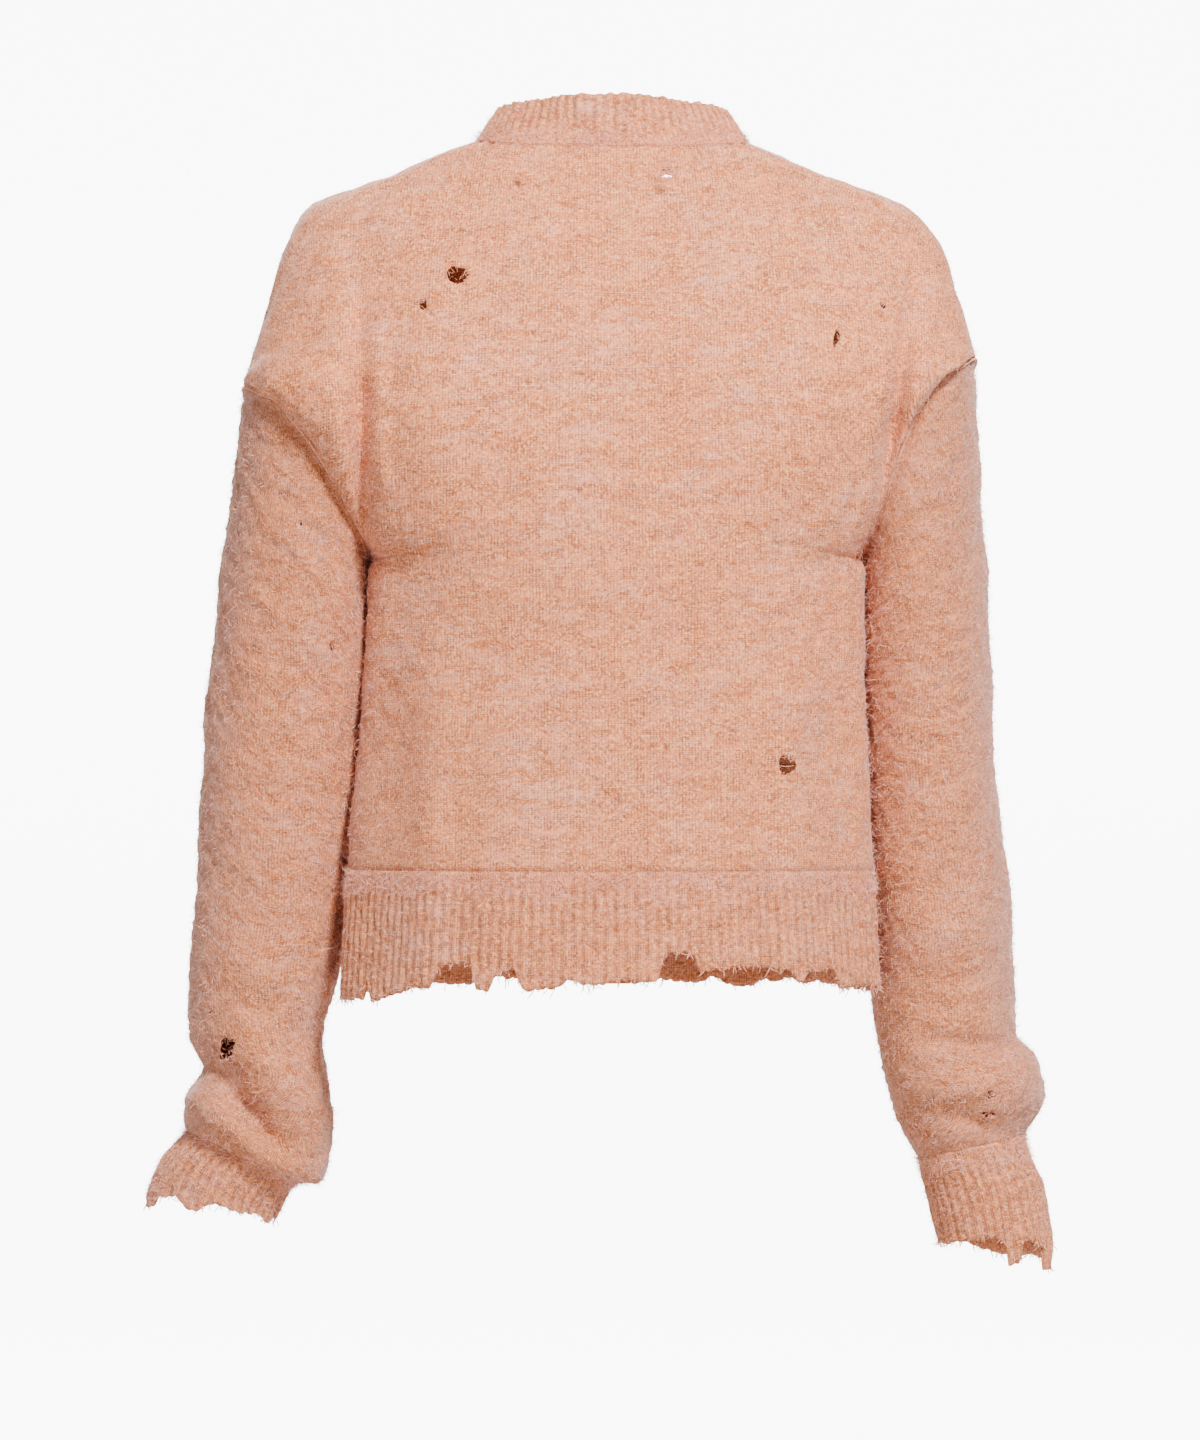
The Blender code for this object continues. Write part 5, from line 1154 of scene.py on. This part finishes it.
def drilled(profile, holes, radius, reach):
    """The turned form with round holes cut through it, as points and faces."""
    spots, faces = turned(profile, BUTTON_AROUND)
    peg, peg_faces = turned(((0, -1), (1, -1), (1, 1), (0, 1)), PEG_AROUND)
    pegs = np.concatenate([peg * (radius, radius, reach) + np.array([x, y, 0.0]) for x, y in holes])
    every = [tuple(corner + number * len(peg) for corner in face)
             for number in range(len(holes)) for face in peg_faces]
    return cut_mesh(outward("blank", spots, faces), outward("drill", pegs, every))


def outward(name, spots, faces):
    """An object of closed forms, with every face turned outwards."""
    mesh = bpy.data.meshes.new(name)
    mesh.from_pydata(spots.tolist(), [], faces)
    work = bmesh.new()
    work.from_mesh(mesh)
    bmesh.ops.recalc_face_normals(work, faces=work.faces)
    work.to_mesh(mesh)
    work.free()
    return bpy.data.objects.new(name, mesh)


def cut_mesh(target, tool):
    """The mesh that is left of a target after a tool is taken out of it; both objects are removed."""
    for thing in (target, tool):
        if thing.name not in bpy.context.scene.collection.objects:
            bpy.context.scene.collection.objects.link(thing)
    change = target.modifiers.new("cut", "BOOLEAN")
    change.operation, change.solver, change.object = "DIFFERENCE", "EXACT", tool
    mesh = bpy.data.meshes.new_from_object(target.evaluated_get(bpy.context.evaluated_depsgraph_get()))
    for thing in (target, tool):
        bpy.data.objects.remove(thing, do_unlink=True)
    return mesh


holes = [(x * HOLE_SPACING, y * HOLE_SPACING) for x in (-1, 1) for y in (-1, 1)]
size = [(radius * BUTTON_RADIUS, thick * BUTTON_THICKNESS) for radius, thick in BUTTON_PROFILE]
button_mesh = drilled(size, holes, HOLE_RADIUS, BUTTON_THICKNESS * 2)
button_mesh.materials.clear()
button_mesh.materials.append(horn)
button_spots = np.zeros(len(button_mesh.vertices) * 3)
button_mesh.vertices.foreach_get("co", button_spots)
button_spots = button_spots.reshape(-1, 3)
print("one button:", len(button_mesh.polygons), "faces")


# %% Tubes of yarn
def tubes(lines, radius, sides=4):
    """Round threads along many lines of as many points each, as one array of points and one of quads.

    Round each line a small circle is carried, square to the line, and shrinks to a point at both ends.
    """
    lines = np.asarray(lines, float)
    count, steps = lines.shape[:2]
    way = unit(np.gradient(lines, axis=1))
    beside = unit(np.cross(way, np.array([0.13, 0.32, 0.94])))
    above = np.cross(way, beside)
    angle = np.linspace(0.0, 2.0 * math.pi, sides, endpoint=False)
    taper = np.sqrt(np.clip(np.minimum(np.arange(steps), np.arange(steps)[::-1]) / 1.5, 0.02, 1.0))
    size = np.broadcast_to(np.asarray(radius, float).reshape(-1, 1), (count, steps)) * taper[None, :]
    ring = (beside[:, :, None] * np.cos(angle)[:, None] + above[:, :, None] * np.sin(angle)[:, None])
    spots = lines[:, :, None] + ring * size[:, :, None, None]
    number = np.arange(count * steps * sides).reshape(count, steps, sides)
    turned_on = np.roll(number, -1, axis=2)
    walls = np.stack([number[:, :-1], turned_on[:, :-1], turned_on[:, 1:], number[:, 1:]], -1)
    caps = [np.stack([end[:, 0], end[:, k], end[:, k + 1], end[:, k + 2]], -1)[:, ::way_round]
            for end, way_round in ((number[:, 0], -1), (number[:, -1], 1)) for k in range(1, sides - 2, 2)]
    return spots.reshape(-1, 3), np.concatenate([walls.reshape(-1, 4)] + caps)


def yarn_piece(name, lines, radius, finish, sides=4):
    """Threads joined into one piece."""
    spots, faces = tubes(lines, radius, sides)
    mesh = mesh_from(name, spots, faces)
    mesh.polygons.foreach_set("use_smooth", np.ones(len(faces), bool))
    mesh.materials.append(finish)
    piece = place_piece(name, mesh)
    return piece


# %% Sewing the buttons on
button_turns = np.random.default_rng(71).uniform(-0.5, 0.5, len(BUTTON_HEIGHTS))
strands, slits = [], []
for number, height in enumerate(BUTTON_HEIGHTS):
    surface, low, high = (follow(path, path[:, 2], height + shift * BUTTON_RADIUS)
                          for shift in (0.0, -0.9, 0.9))
    up = unit(high - low)
    out = np.array([0.0, -up[2], up[1]])
    near = path[np.abs(path[:, 2] - height) < BUTTON_RADIUS]
    bend = max(float(np.max((near - surface) @ out)), 0.0)
    seat = surface + out * (OVERLAP_RISE + RIB_RISE + BUTTON_LIFT + bend)
    turn = button_turns[number]
    across = np.array([1.0, 0.0, 0.0]) * math.cos(turn) + up * math.sin(turn)
    other = np.cross(out, across)
    mesh = button_mesh.copy()
    placed = button_spots @ np.stack([across, other, out]) + seat
    mesh.vertices.foreach_set("co", placed.astype(np.float32).ravel())
    mesh.update()
    piece = place_piece("horn_button_" + str(number + 1), mesh)
    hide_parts("button_" + str(number + 1))
    along = np.linspace(-1.0, 1.0, 9)[:, None]
    dip = BUTTON_THICKNESS * (0.62 + 0.30 * (1.0 - along ** 4)) - BUTTON_THICKNESS * 0.9 * np.abs(along) ** 8
    for x, y in ((1, 1), (1, -1)):
        for shift in (-THREADS_APART, THREADS_APART):
            line = seat + along * HOLE_SPACING * (x * across + y * other) + out * dip
            strands.append(line + shift * (across - x * y * other))
    ring = np.linspace(0.0, 2.0 * math.pi, 41)[:, None]
    slit = surface + out * (OVERLAP_RISE + RIB_RISE * 0.9 + bend * 0.5)
    level = SLIT_HALF_LENGTH * np.cos(ring) * np.array([1.0, 0.0, 0.0])
    slits.append(slit + level + SLIT_HALF_WIDTH * np.sin(ring) * up)
yarn_piece("button_thread", strands, THREAD_RADIUS, yarn)
yarn_piece("buttonhole_stitching", slits, SLIT_YARN_RADIUS, yarn)
print("buttons:", len(BUTTON_HEIGHTS), "strands:", len(strands))

# %% [markdown]
# ## Worn holes
# The cloth is worn through in places. Each hole is cut out of the finished shell with an uneven prism, so
# the wall's edge shows and one sees into the empty garment, as on the real one. Painting the holes dark
# would fail from every other side. After the cut a few broken strands are laid across, the rungs that are
# left when stitches run.

# %% Cutting the holes
HOLE_COLUMNS = ("piece", "x", "z", "half_width", "half_height", "slant", "square")
HOLES = (
    ("back", 0.0930, -0.0875, 0.0066, 0.0052, 10, 2.0), ("back", 0.1135, -0.1060, 0.0021, 0.0037, -12, 2.0),
    ("back", -0.0363, -0.0142, 0.0055, 0.0025, 0, 3.0), ("back", -0.0581, -0.0152, 0.0046, 0.0024, 6, 3.0),
    ("back", 0.0494, -0.0142, 0.0024, 0.0013, 0, 2.0), ("back", -0.1110, -0.3902, 0.0048, 0.0060, 0, 2.4),
    ("back", -0.1415, -0.1270, 0.0017, 0.0050, 14, 2.0), ("back", -0.1030, -0.3635, 0.0010, 0.0012, 0, 2.0),
    ("back", -0.1710, -0.1055, 0.0017, 0.0019, 0, 2.0), ("back", -0.0370, -0.0215, 0.0034, 0.0008, 0, 3.0),
    ("back", -0.0370, -0.0250, 0.0028, 0.0007, 0, 3.0), ("back", 0.0494, -0.0172, 0.0018, 0.0007, 0, 3.0),
    ("left", 0.2372, -0.5672, 0.0044, 0.0066, 10, 3.4), ("left", 0.2469, -0.5456, 0.0011, 0.0016, -20, 2.0),
    ("left", 0.2025, -0.2219, 0.0011, 0.0015, 20, 2.0), ("left", 0.1900, -0.2406, 0.0009, 0.0012, 0, 2.0),
    ("left", 0.1712, -0.3175, 0.0011, 0.0022, -30, 2.0),
    ("right", -0.2394, -0.5963, 0.0026, 0.0025, 0, 2.0), ("right", -0.2375, -0.6088, 0.0038, 0.0017, 0, 2.4),
)
HOLE_SIDES, HOLE_REACH, HOLE_WAVE, HOLE_TEETH = 26, 0.022, 0.12, 0.13


def surface_at(outer, x, z):
    """The point of a rear surface at a place seen from behind: a mean of its four nearest grid points."""
    spots = outer.reshape(-1, 3)
    spots = spots[spots[:, 1] > np.median(spots[:, 1])]
    away = np.hypot(spots[:, 0] - x, spots[:, 2] - z)
    near = np.argsort(away)[:4]
    weight = 1.0 / (away[near] + 1e-5)
    return np.array([x, float(np.sum(spots[near, 1] * weight) / weight.sum()), z])


def hole_ring(hole, seed):
    """Outline of a worn hole: a squared-off ellipse with small random teeth where single loops broke."""
    chance = np.random.default_rng(seed)
    turn = np.linspace(0.0, 2.0 * math.pi, HOLE_SIDES, endpoint=False)
    uneven = 1.0 + HOLE_WAVE * np.sin(3.0 * turn + seed) + chance.uniform(-HOLE_TEETH, HOLE_TEETH, HOLE_SIDES)
    flat_x = hole["half_width"] * rounded(np.cos(turn), hole["square"]) * uneven
    flat_z = hole["half_height"] * rounded(np.sin(turn), hole["square"]) * uneven
    tilt = math.radians(hole["slant"])
    cosine, sine = math.cos(tilt), math.sin(tilt)
    return flat_x * cosine - flat_z * sine, flat_x * sine + flat_z * cosine


def hole_tool(rows, outer):
    """One joined tool: a prism for each hole, pointing along the depth of the garment."""
    spots, faces = [], []
    side_faces = np.arange(HOLE_SIDES)
    following = (side_faces + 1) % HOLE_SIDES
    for number, hole in rows:
        centre = surface_at(outer, hole["x"], hole["z"])
        u, w = hole_ring(hole, number)
        start = len(spots) * HOLE_SIDES
        for depth in (-HOLE_REACH, HOLE_REACH):
            spots.append(np.stack([centre[0] + u, np.full(HOLE_SIDES, centre[1] + depth), centre[2] + w], -1))
        walls = np.stack([side_faces, following, following + HOLE_SIDES, side_faces + HOLE_SIDES], -1) + start
        faces += [tuple(map(int, face)) for face in walls]
        faces.append(tuple(range(start + HOLE_SIDES - 1, start - 1, -1)))
        faces.append(tuple(range(start + HOLE_SIDES, start + 2 * HOLE_SIDES)))
    return outward("hole_tool", np.concatenate(spots), faces)


def wear_through(piece, outer, kind):
    """Cuts a piece's holes and puts the cut mesh into it."""
    rows = [(number, dict(zip(HOLE_COLUMNS, row))) for number, row in enumerate(HOLES) if row[0] == kind]
    copy = bpy.data.objects.new("whole_" + piece.name, piece.data.copy())
    mesh = cut_mesh(copy, hole_tool(rows, outer))
    mesh.name = piece.name
    piece.data = mesh
    print(piece.name, "has", len(rows), "holes and", len(mesh.polygons), "faces")


worn = {"back": (back, back_outer), "left": (sleeves[LEFT], sleeve_outers[LEFT]),
        "right": (sleeves[RIGHT], sleeve_outers[RIGHT])}
for kind, (piece, outer) in worn.items():
    wear_through(piece, outer, kind)

# %% Rungs and broken strands at the holes
# Each row: x, z and half the width of a strand that lies level across a hole.
LADDER = (
    (-0.0363, -0.0178, 0.0052), (-0.0363, -0.0192, 0.0048), (-0.0365, -0.0232, 0.0040),
    (-0.0363, -0.0268, 0.0036), (0.0494, -0.0158, 0.0026), (-0.0363, -0.0150, 0.0056),
    (-0.1712, -0.1085, 0.0024), (-0.1108, -0.3905, 0.0050),
)
LARGE_HOLE, RUNGS_IN_LARGE, RUNGS_IN_SMALL, RUNG_RADIUS = 0.002, 14, 6, 0.00021
RUNG_LENGTHS, RUNG_TURN, RUNG_BOW, RUNG_SAGS = (0.0012, 0.0042), 1.1, 0.0012, (0.0003, 0.0009)
chance = np.random.default_rng(81)
rungs = []
part = np.linspace(-1.0, 1.0, 9)
step = (part + 1.0) / 2.0
for number, row in enumerate(HOLES):
    hole = dict(zip(HOLE_COLUMNS, row))
    centre = surface_at(worn[hole["piece"]][1], hole["x"], hole["z"])
    wide, high = hole["half_width"] * 1.15, hole["half_height"] * 1.15
    for _ in range(RUNGS_IN_LARGE if wide > LARGE_HOLE else RUNGS_IN_SMALL):
        at = chance.uniform(0.0, 2.0 * math.pi)
        start = centre + np.array([wide * math.cos(at), -0.0006, high * math.sin(at)])
        reach = chance.uniform(*RUNG_LENGTHS)
        turn = at + math.pi + chance.uniform(-RUNG_TURN, RUNG_TURN)
        bow = chance.uniform(-RUNG_BOW, RUNG_BOW)
        sideways = step * reach * math.cos(turn) + bow * np.sin(math.pi * step)
        upwards = step * reach * math.sin(turn) - 0.001 * step ** 2
        rungs.append(start + np.stack([sideways, 0.0009 * np.sin(2.6 * step), upwards], -1))
for x, z, half in LADDER:
    middle = surface_at(back_outer, x, z)
    sag = chance.uniform(*RUNG_SAGS)
    rungs.append(middle + np.stack([part * half, 0.0 * part - 0.0005, -sag * (1.0 - part ** 2)], -1))
yarn_piece("broken_strands", rungs, RUNG_RADIUS, yarn)
print("strands at holes:", len(rungs))

# %% [markdown]
# ## Seams and raised rows
# The panels are joined by hand with the same yarn. From outside such a seam shows as a row of small
# slanting stitches in a shallow dip. Each stitch is a short thread placed at a fixed step along the edge.
# Two faint raised rows cross the upper back, as where something was once sewn on inside.

# %% Seam stitches
STITCH_STEP, STITCH_REACH, STITCH_ARCH, STITCH_SINK, STITCH_SLANT = 0.0042, 0.0017, 0.0004, 0.0009, 0.7
STITCH_LIFT, STITCH_RADIUS, RIDGE_RADIUS, RAISED_RADIUS = 0.0002, 0.00034, 0.0009, 0.00045
RIDGE_OUT, RIDGE_BEYOND = 0.0004, 0.012


def seam_stitches(line, out):
    """Short slanting threads across a seam: one every few millimetres, each a low arch."""
    length = lengths(line)
    wanted = np.arange(STITCH_STEP, length[-1] - STITCH_STEP, STITCH_STEP)
    spots = follow(line, length, wanted)
    way = unit(follow(np.gradient(line, axis=0), length, wanted))
    up = unit(follow(out, length, wanted))
    over = unit(np.cross(way, up))
    part = np.linspace(-1.0, 1.0, 6)[None, :, None]
    arch = (1.0 - part ** 2) * STITCH_ARCH + STITCH_LIFT - STITCH_SINK
    return spots[:, None] + part * STITCH_REACH * (over + STITCH_SLANT * way)[:, None] + up[:, None] * arch


stitches = []
for side in (LEFT, RIGHT):
    edge = 0 if side == LEFT else -1
    shoulder = SIDE_STEPS + ARMHOLE_STEPS
    for start, end in ((shoulder, len(ROWS)), (SIDE_STEPS, shoulder + 1), (0, SIDE_STEPS + 1)):
        stitches.append(seam_stitches(back_grid[start:end, edge], back_out[start:end, edge]))
yarn_piece("seam_stitches", np.concatenate(stitches), STITCH_RADIUS, seam_yarn)
ridges = []
for side in (LEFT, RIGHT):
    turn = np.linspace(0.0, 2.0 * math.pi, 241)
    line, beyond = sleeve_ring(side, 0.0, turn), sleeve_ring(side, RIDGE_BEYOND, turn)
    ridges.append(line + RIDGE_OUT * unit(line - line.mean(axis=0)) - RIDGE_OUT * unit(beyond - line))
yarn_piece("seam_ridges", ridges, RIDGE_RADIUS, ridge_yarn, sides=8)
raised = []
for z, left_x, right_x in ((-0.0985, 0.040, -0.051), (-0.1450, 0.038, -0.054)):
    raised.append(np.array([surface_at(back_outer, float(x), z + 0.0005 * math.sin(x * 130))
                            for x in np.linspace(left_x, right_x, 60)]))
raised = np.array(raised) + np.array([0.0, 0.00005, 0.0])
yarn_piece("raised_rows", raised, RAISED_RADIUS, seam_yarn)
print("seam stitches:", sum(len(part) for part in stitches))

# %% [markdown]
# ## Loose fibres
# Brushing pulls mohair out into a haze that is longest at the edges. Blender's hair would have to be
# converted before export, so each fibre is made here as a strip of one quad and one triangle that starts
# on the cloth, leans out and bends over. The strips are joined by piece. Their places are drawn from the
# outer grids with a fixed seed, evenly by area.

# %% Fibre finish and strips
def fibre_finish():
    """Pale fibres whose tint changes from one strip to the next by an attribute."""
    finish, tree, shader = new_finish("loose_mohair")
    tint = add(tree, "ShaderNodeAttribute", attribute_name="tint", output=2)
    mixed = blend_colour(tint, colour(204, 124, 88), colour(236, 176, 164))
    tree.links.new(mixed, shader.inputs["Base Color"])
    shader.inputs["Roughness"].default_value = 0.75
    shader.inputs["Specular IOR Level"].default_value = 0.25
    shader.inputs["Sheen Weight"].default_value = 0.3
    return finish


loose_mohair = fibre_finish()
FIBRE_WIDTH, FIBRE_VARIES, SHORTEST_FIBRE, LONGEST_FIBRE = 0.00012, 0.42, 0.0012, 0.009
FIBRE_LEANS, FIBRE_SWAY, FIBRE_BEND, FIBRE_DROP = (0.25, 1.15), 0.35, 0.7, 0.0006


def scattered(outer, out, count, chance, closed=False):
    """Random places on a grid, evenly by area, with the direction out of the cloth and along its rows."""
    if closed:
        outer, out = np.concatenate([outer, outer[:, :1]], 1), np.concatenate([out, out[:, :1]], 1)
    a, b, c, d = outer[:-1, :-1], outer[:-1, 1:], outer[1:, 1:], outer[1:, :-1]
    area = np.linalg.norm(np.cross(b - a, d - a), axis=-1).ravel()
    cell = chance.choice(area.size, count, p=area / area.sum())
    row, column = np.unravel_index(cell, a.shape[:2])
    s, t = chance.random((2, count, 1))

    def mixed(grid):
        return ((grid[row, column] * (1 - s) + grid[row, column + 1] * s) * (1 - t)
                + (grid[row + 1, column] * (1 - s) + grid[row + 1, column + 1] * s) * t)

    return mixed(outer), unit(mixed(out)), unit(b - a)[row, column]


def fibres(name, groups, seed):
    """One piece of loose fibres. A group is a grid, its outward directions, a count, a length and closed.

    A fibre's three stations lie at its root, half way and its end; it leans from the cloth by a random
    angle and bends back towards it, and its width falls from the root to a point.
    """
    chance = np.random.default_rng(seed)
    root, up, side = (np.concatenate(part) for part in zip(
        *(scattered(outer, out, count, chance, closed) for outer, out, count, length, closed in groups)))
    length = np.concatenate([length * chance.lognormal(0.0, FIBRE_VARIES, count)
                             for _, _, count, length, _ in groups])
    length = np.clip(length, SHORTEST_FIBRE, LONGEST_FIBRE)[:, None]
    count = len(root)
    turn = chance.uniform(0.0, 2.0 * math.pi, (count, 1))
    tangent = unit(side * np.cos(turn) + np.cross(up, side) * np.sin(turn))
    lean = chance.uniform(*FIBRE_LEANS, (count, 1))
    sway = chance.normal(0.0, FIBRE_SWAY, (count, 1))
    first = tangent * np.cos(lean) + up * np.sin(lean)
    bent = tangent * np.cos(lean - FIBRE_BEND) + up * np.sin(lean - FIBRE_BEND)
    second = unit(bent + np.cross(up, tangent) * sway)
    middle = root + first * length * 0.5
    end = middle + second * length * 0.5 - np.array([0.0, 0.0, FIBRE_DROP])
    flat = unit(np.cross(first, chance.normal(size=(count, 3)))) * FIBRE_WIDTH
    spots = np.stack([root - flat, root + flat, middle - flat * 0.7, middle + flat * 0.7, end], axis=1)
    base = np.arange(count)[:, None] * 5
    faces = np.concatenate([base + np.array(corners) for corners in ((0, 1, 3), (0, 3, 2), (2, 3, 4))])
    mesh = mesh_from(name, spots.reshape(-1, 3), faces)
    tint = mesh.attributes.new("tint", "FLOAT", "POINT")
    tint.data.foreach_set("value", np.repeat(chance.random(count), 5).astype(np.float32))
    mesh.materials.append(loose_mohair)
    piece = place_piece(name, mesh)
    print(name, count, "fibres,", len(faces), "triangles")


def both(outers, outs, count, length, closed=False, rows=None):
    """The groups of a left and a right piece, on all of their rows or on the first ones."""
    return [(outers[side][:rows], outs[side][:rows], count, length, closed) for side in (LEFT, RIGHT)]


fibres("back_fibres", [(back_outer, back_out, 23000, 0.0031, False)], 91)
fibres("front_fibres", both(front_outers, front_outs, 6000, 0.0031), 92)
left_tube, right_tube = both(sleeve_outers, sleeve_outs, 22000, 0.0037, True)
fibres("left_sleeve_fibres", [left_tube], 93)
fibres("right_sleeve_fibres", [right_tube], 94)
fibres("join_fibres", [
    (back_hem_outer[:6], hem_out[:6], 2600, 0.0052, False),
    (neckband_outer[:5], neck_outs[:5], 1500, 0.0045, False),
    *both(cuff_outers, cuff_outs, 1000, 0.0052, True, 6)], 96)
fibres("rib_fibres", [
    (back_hem_outer, hem_out, 4200, 0.0036, False), (neckband_outer, neck_outs, 3200, 0.0034, False),
    *both(cuff_outers, cuff_outs, 2600, 0.0036, True),
    *both(front_hem_outers, front_hem_outs, 1800, 0.0036)], 95)

# %% Torn ends of yarn along the edges
FRINGE_LENGTH, FRINGE_LENGTHS, FRINGE_TURN, FRINGE_RADIUS = 0.0032, (0.4, 1.5), 2.6, 0.00030


def fringe(edge, down, count, seed):
    """Curled ends of yarn hanging from a torn edge: each starts on it, falls and curls sideways."""
    chance = np.random.default_rng(seed)
    at = chance.uniform(0, len(edge) - 1.001, count)
    low = at.astype(int)
    start = edge[low] + (edge[low + 1] - edge[low]) * (at - low)[:, None]
    length = chance.uniform(*FRINGE_LENGTHS, (count, 1, 1)) * FRINGE_LENGTH
    part = np.linspace(0.0, 1.0, 7)[None, :, None]
    curl = chance.normal(0.0, 1.0, (count, 1, 3)) * 0.45
    turn = chance.uniform(-FRINGE_TURN, FRINGE_TURN, (count, 1, 1))
    swing = [np.sin(turn * part), 0.35 * np.sin(1.7 * turn * part), 0.0 * part * turn]
    swing = np.concatenate(swing, -1) * 0.5
    fall = np.asarray(down, float)[None, None] * part + swing * part + curl * part ** 2
    return start[:, None] + fall * length - np.asarray(down)[None, None] * 0.0008


ends = [fringe(back_hem_outer[-1], (0, -0.1, -1.0), 230, 101)]
ends += [fringe(front_hem_outers[side][-1], (0, 0.1, -1.0), 90, 102 + side) for side in (LEFT, RIGHT)]
for side in (LEFT, RIGHT):
    edge = cuff_outers[side][-1]
    ends.append(fringe(np.concatenate([edge, edge[:1]]), ring_plane(side, 2.0), 110, 106 + side))
yarn_piece("torn_ends", np.concatenate(ends), FRINGE_RADIUS, yarn)
print("torn ends:", sum(len(part) for part in ends))

# %% [markdown]
# ## Cloth sizes
# Each knitted piece is listed with the size it was knitted to. Tubes are given all round.
# The modelled area is printed beside the flat one, so a cloth that had stretched or shrunk would show.

# %% Listing the cloth sizes
# Each row: a piece, its width and length when flat, and the part of that rectangle that it fills.
SHEETS = (
    (back, 0.588, 0.462, 0.76), (fronts[LEFT], 0.288, 0.471, 0.78), (fronts[RIGHT], 0.287, 0.472, 0.78),
    (sleeves[LEFT], 0.365, 0.455, 0.90), (sleeves[RIGHT], 0.350, 0.451, 0.90),
    (cuffs[LEFT], 0.263, 0.043, 1.0), (cuffs[RIGHT], 0.245, 0.066, 1.0),
    (back_hem, 0.433, 0.077, 1.0),
    (front_hems[LEFT], 0.222, 0.076, 1.0), (front_hems[RIGHT], 0.222, 0.076, 1.0),
    (neckband, 0.529, 0.026, 1.0), (bands[LEFT], 0.030, 0.488, 1.0), (bands[RIGHT], 0.030, 0.488, 1.0),
)
for piece, width, length, part in SHEETS:
    faces = np.zeros(len(piece.data.polygons))
    piece.data.polygons.foreach_get("area", faces)
    print(piece.name, "modelled", round(float(faces.sum()) / 2, 4),
          "flat", round(width * length * part, 4), "square metres")

# %% [markdown]
# ## Floor, light and camera
# The cardigan keeps its worn form, so the floor lies as far below it as under a standing wearer. It runs
# back to a pale wall and curves up into it, so no horizon shows. The wall stands far away, because a near
# one would hide the garment from its other side. The far end glows, which makes an even ground.
# A soft lamp high on one side draws the folds; two weak ones and an even world keep the shadows light.
# The camera stands eight metres away with a long lens, level with the middle of the garment.

# %% Pale ground
FLOOR_Z, GROUND_HALF, GROUND_NEAR, BEND = -1.4200, 7.0, 2.2, 1.2
WALL_AWAY, WALL_HIGH = -13.5, 14.0
GLOW_FROM, GLOW = (-4.6, -7.6), 8.0
turn = np.linspace(0.0, math.pi / 2, 13)
curve = np.stack([WALL_AWAY + BEND - BEND * np.sin(turn), BEND - BEND * np.cos(turn)], -1)
profile = np.concatenate([[[GROUND_NEAR, 0.0]], curve, [[WALL_AWAY, WALL_HIGH]]])
across = np.array([[-GROUND_HALF, GROUND_HALF]])
spots = np.stack(np.broadcast_arrays(across, profile[:, :1], profile[:, 1:] + FLOOR_Z), -1)
number = np.arange(len(profile) * 2).reshape(-1, 2)
faces = np.stack([number[:-1, 0], number[1:, 0], number[1:, 1], number[:-1, 1]], -1)
mesh = mesh_from("ground", spots.reshape(-1, 3), faces)
mesh.polygons.foreach_set("use_smooth", np.ones(len(faces), bool))
ground_finish, tree, shader = new_finish("pale_ground")
shader.inputs["Base Color"].default_value = (0.50, 0.50, 0.50, 1.0)
shader.inputs["Roughness"].default_value = 0.95
shader.inputs["Specular IOR Level"].default_value = 0.1
away = add(tree, "ShaderNodeSeparateXYZ", {0: add(tree, "ShaderNodeTexCoord", output=3)}, output=1)
shader.inputs["Emission Color"].default_value = (1.0, 1.0, 1.0, 1.0)
tree.links.new(times(band(away, *GLOW_FROM), GLOW), shader.inputs["Emission Strength"])
mesh.materials.append(ground_finish)
ground = bpy.data.objects.new("ground", mesh)
bpy.context.scene.collection.objects.link(ground)

# %% Lights
world = bpy.data.worlds.new("studio")
bpy.context.scene.world = world
world.use_nodes = True
world.node_tree.nodes["Background"].inputs["Color"].default_value = (1.0, 1.0, 1.0, 1.0)
world.node_tree.nodes["Background"].inputs["Strength"].default_value = 0.36
AIM = np.array([0.0, 0.0, -0.36])
# Each row: name, place, diameter and power.
LIGHTS = (
    ("key", (-1.6, 4.5, 3.4), 1.1, 1150.0), ("fill", (2.8, 5.6, 0.2), 2.2, 110.0),
    ("far", (0.8, -4.6, 2.6), 2.5, 420.0),
)
for name, place, size, power in LIGHTS:
    light = bpy.data.lights.new(name, "AREA")
    light.shape, light.size, light.energy = "DISK", size, power
    lamp = bpy.data.objects.new(name, light)
    lamp.location = place
    towards = AIM - np.array(place)
    flat = math.hypot(towards[0], towards[1])
    lamp.rotation_euler = (math.atan2(flat, -towards[2]), 0.0, math.atan2(towards[0], -towards[1]) + math.pi)
    bpy.context.scene.collection.objects.link(lamp)

# %% Camera
CAMERA_PLACE = (0.0044, 8.0, -0.3625)
eye = bpy.data.cameras.new("eye")
eye.lens, eye.sensor_width = 320.0, 36.0
camera = bpy.data.objects.new("eye", eye)
camera.location = CAMERA_PLACE
camera.rotation_euler = (math.pi / 2, 0.0, math.pi)
bpy.context.scene.collection.objects.link(camera)
bpy.context.scene.camera = camera
total = sum(sum(len(face.vertices) - 2 for face in piece.data.polygons) for piece in bpy.context.scene.objects
            if piece.type == "MESH" and not piece.hide_render and piece.name not in frame["nodes"])
print("camera at", tuple(camera.location), "triangles", total)
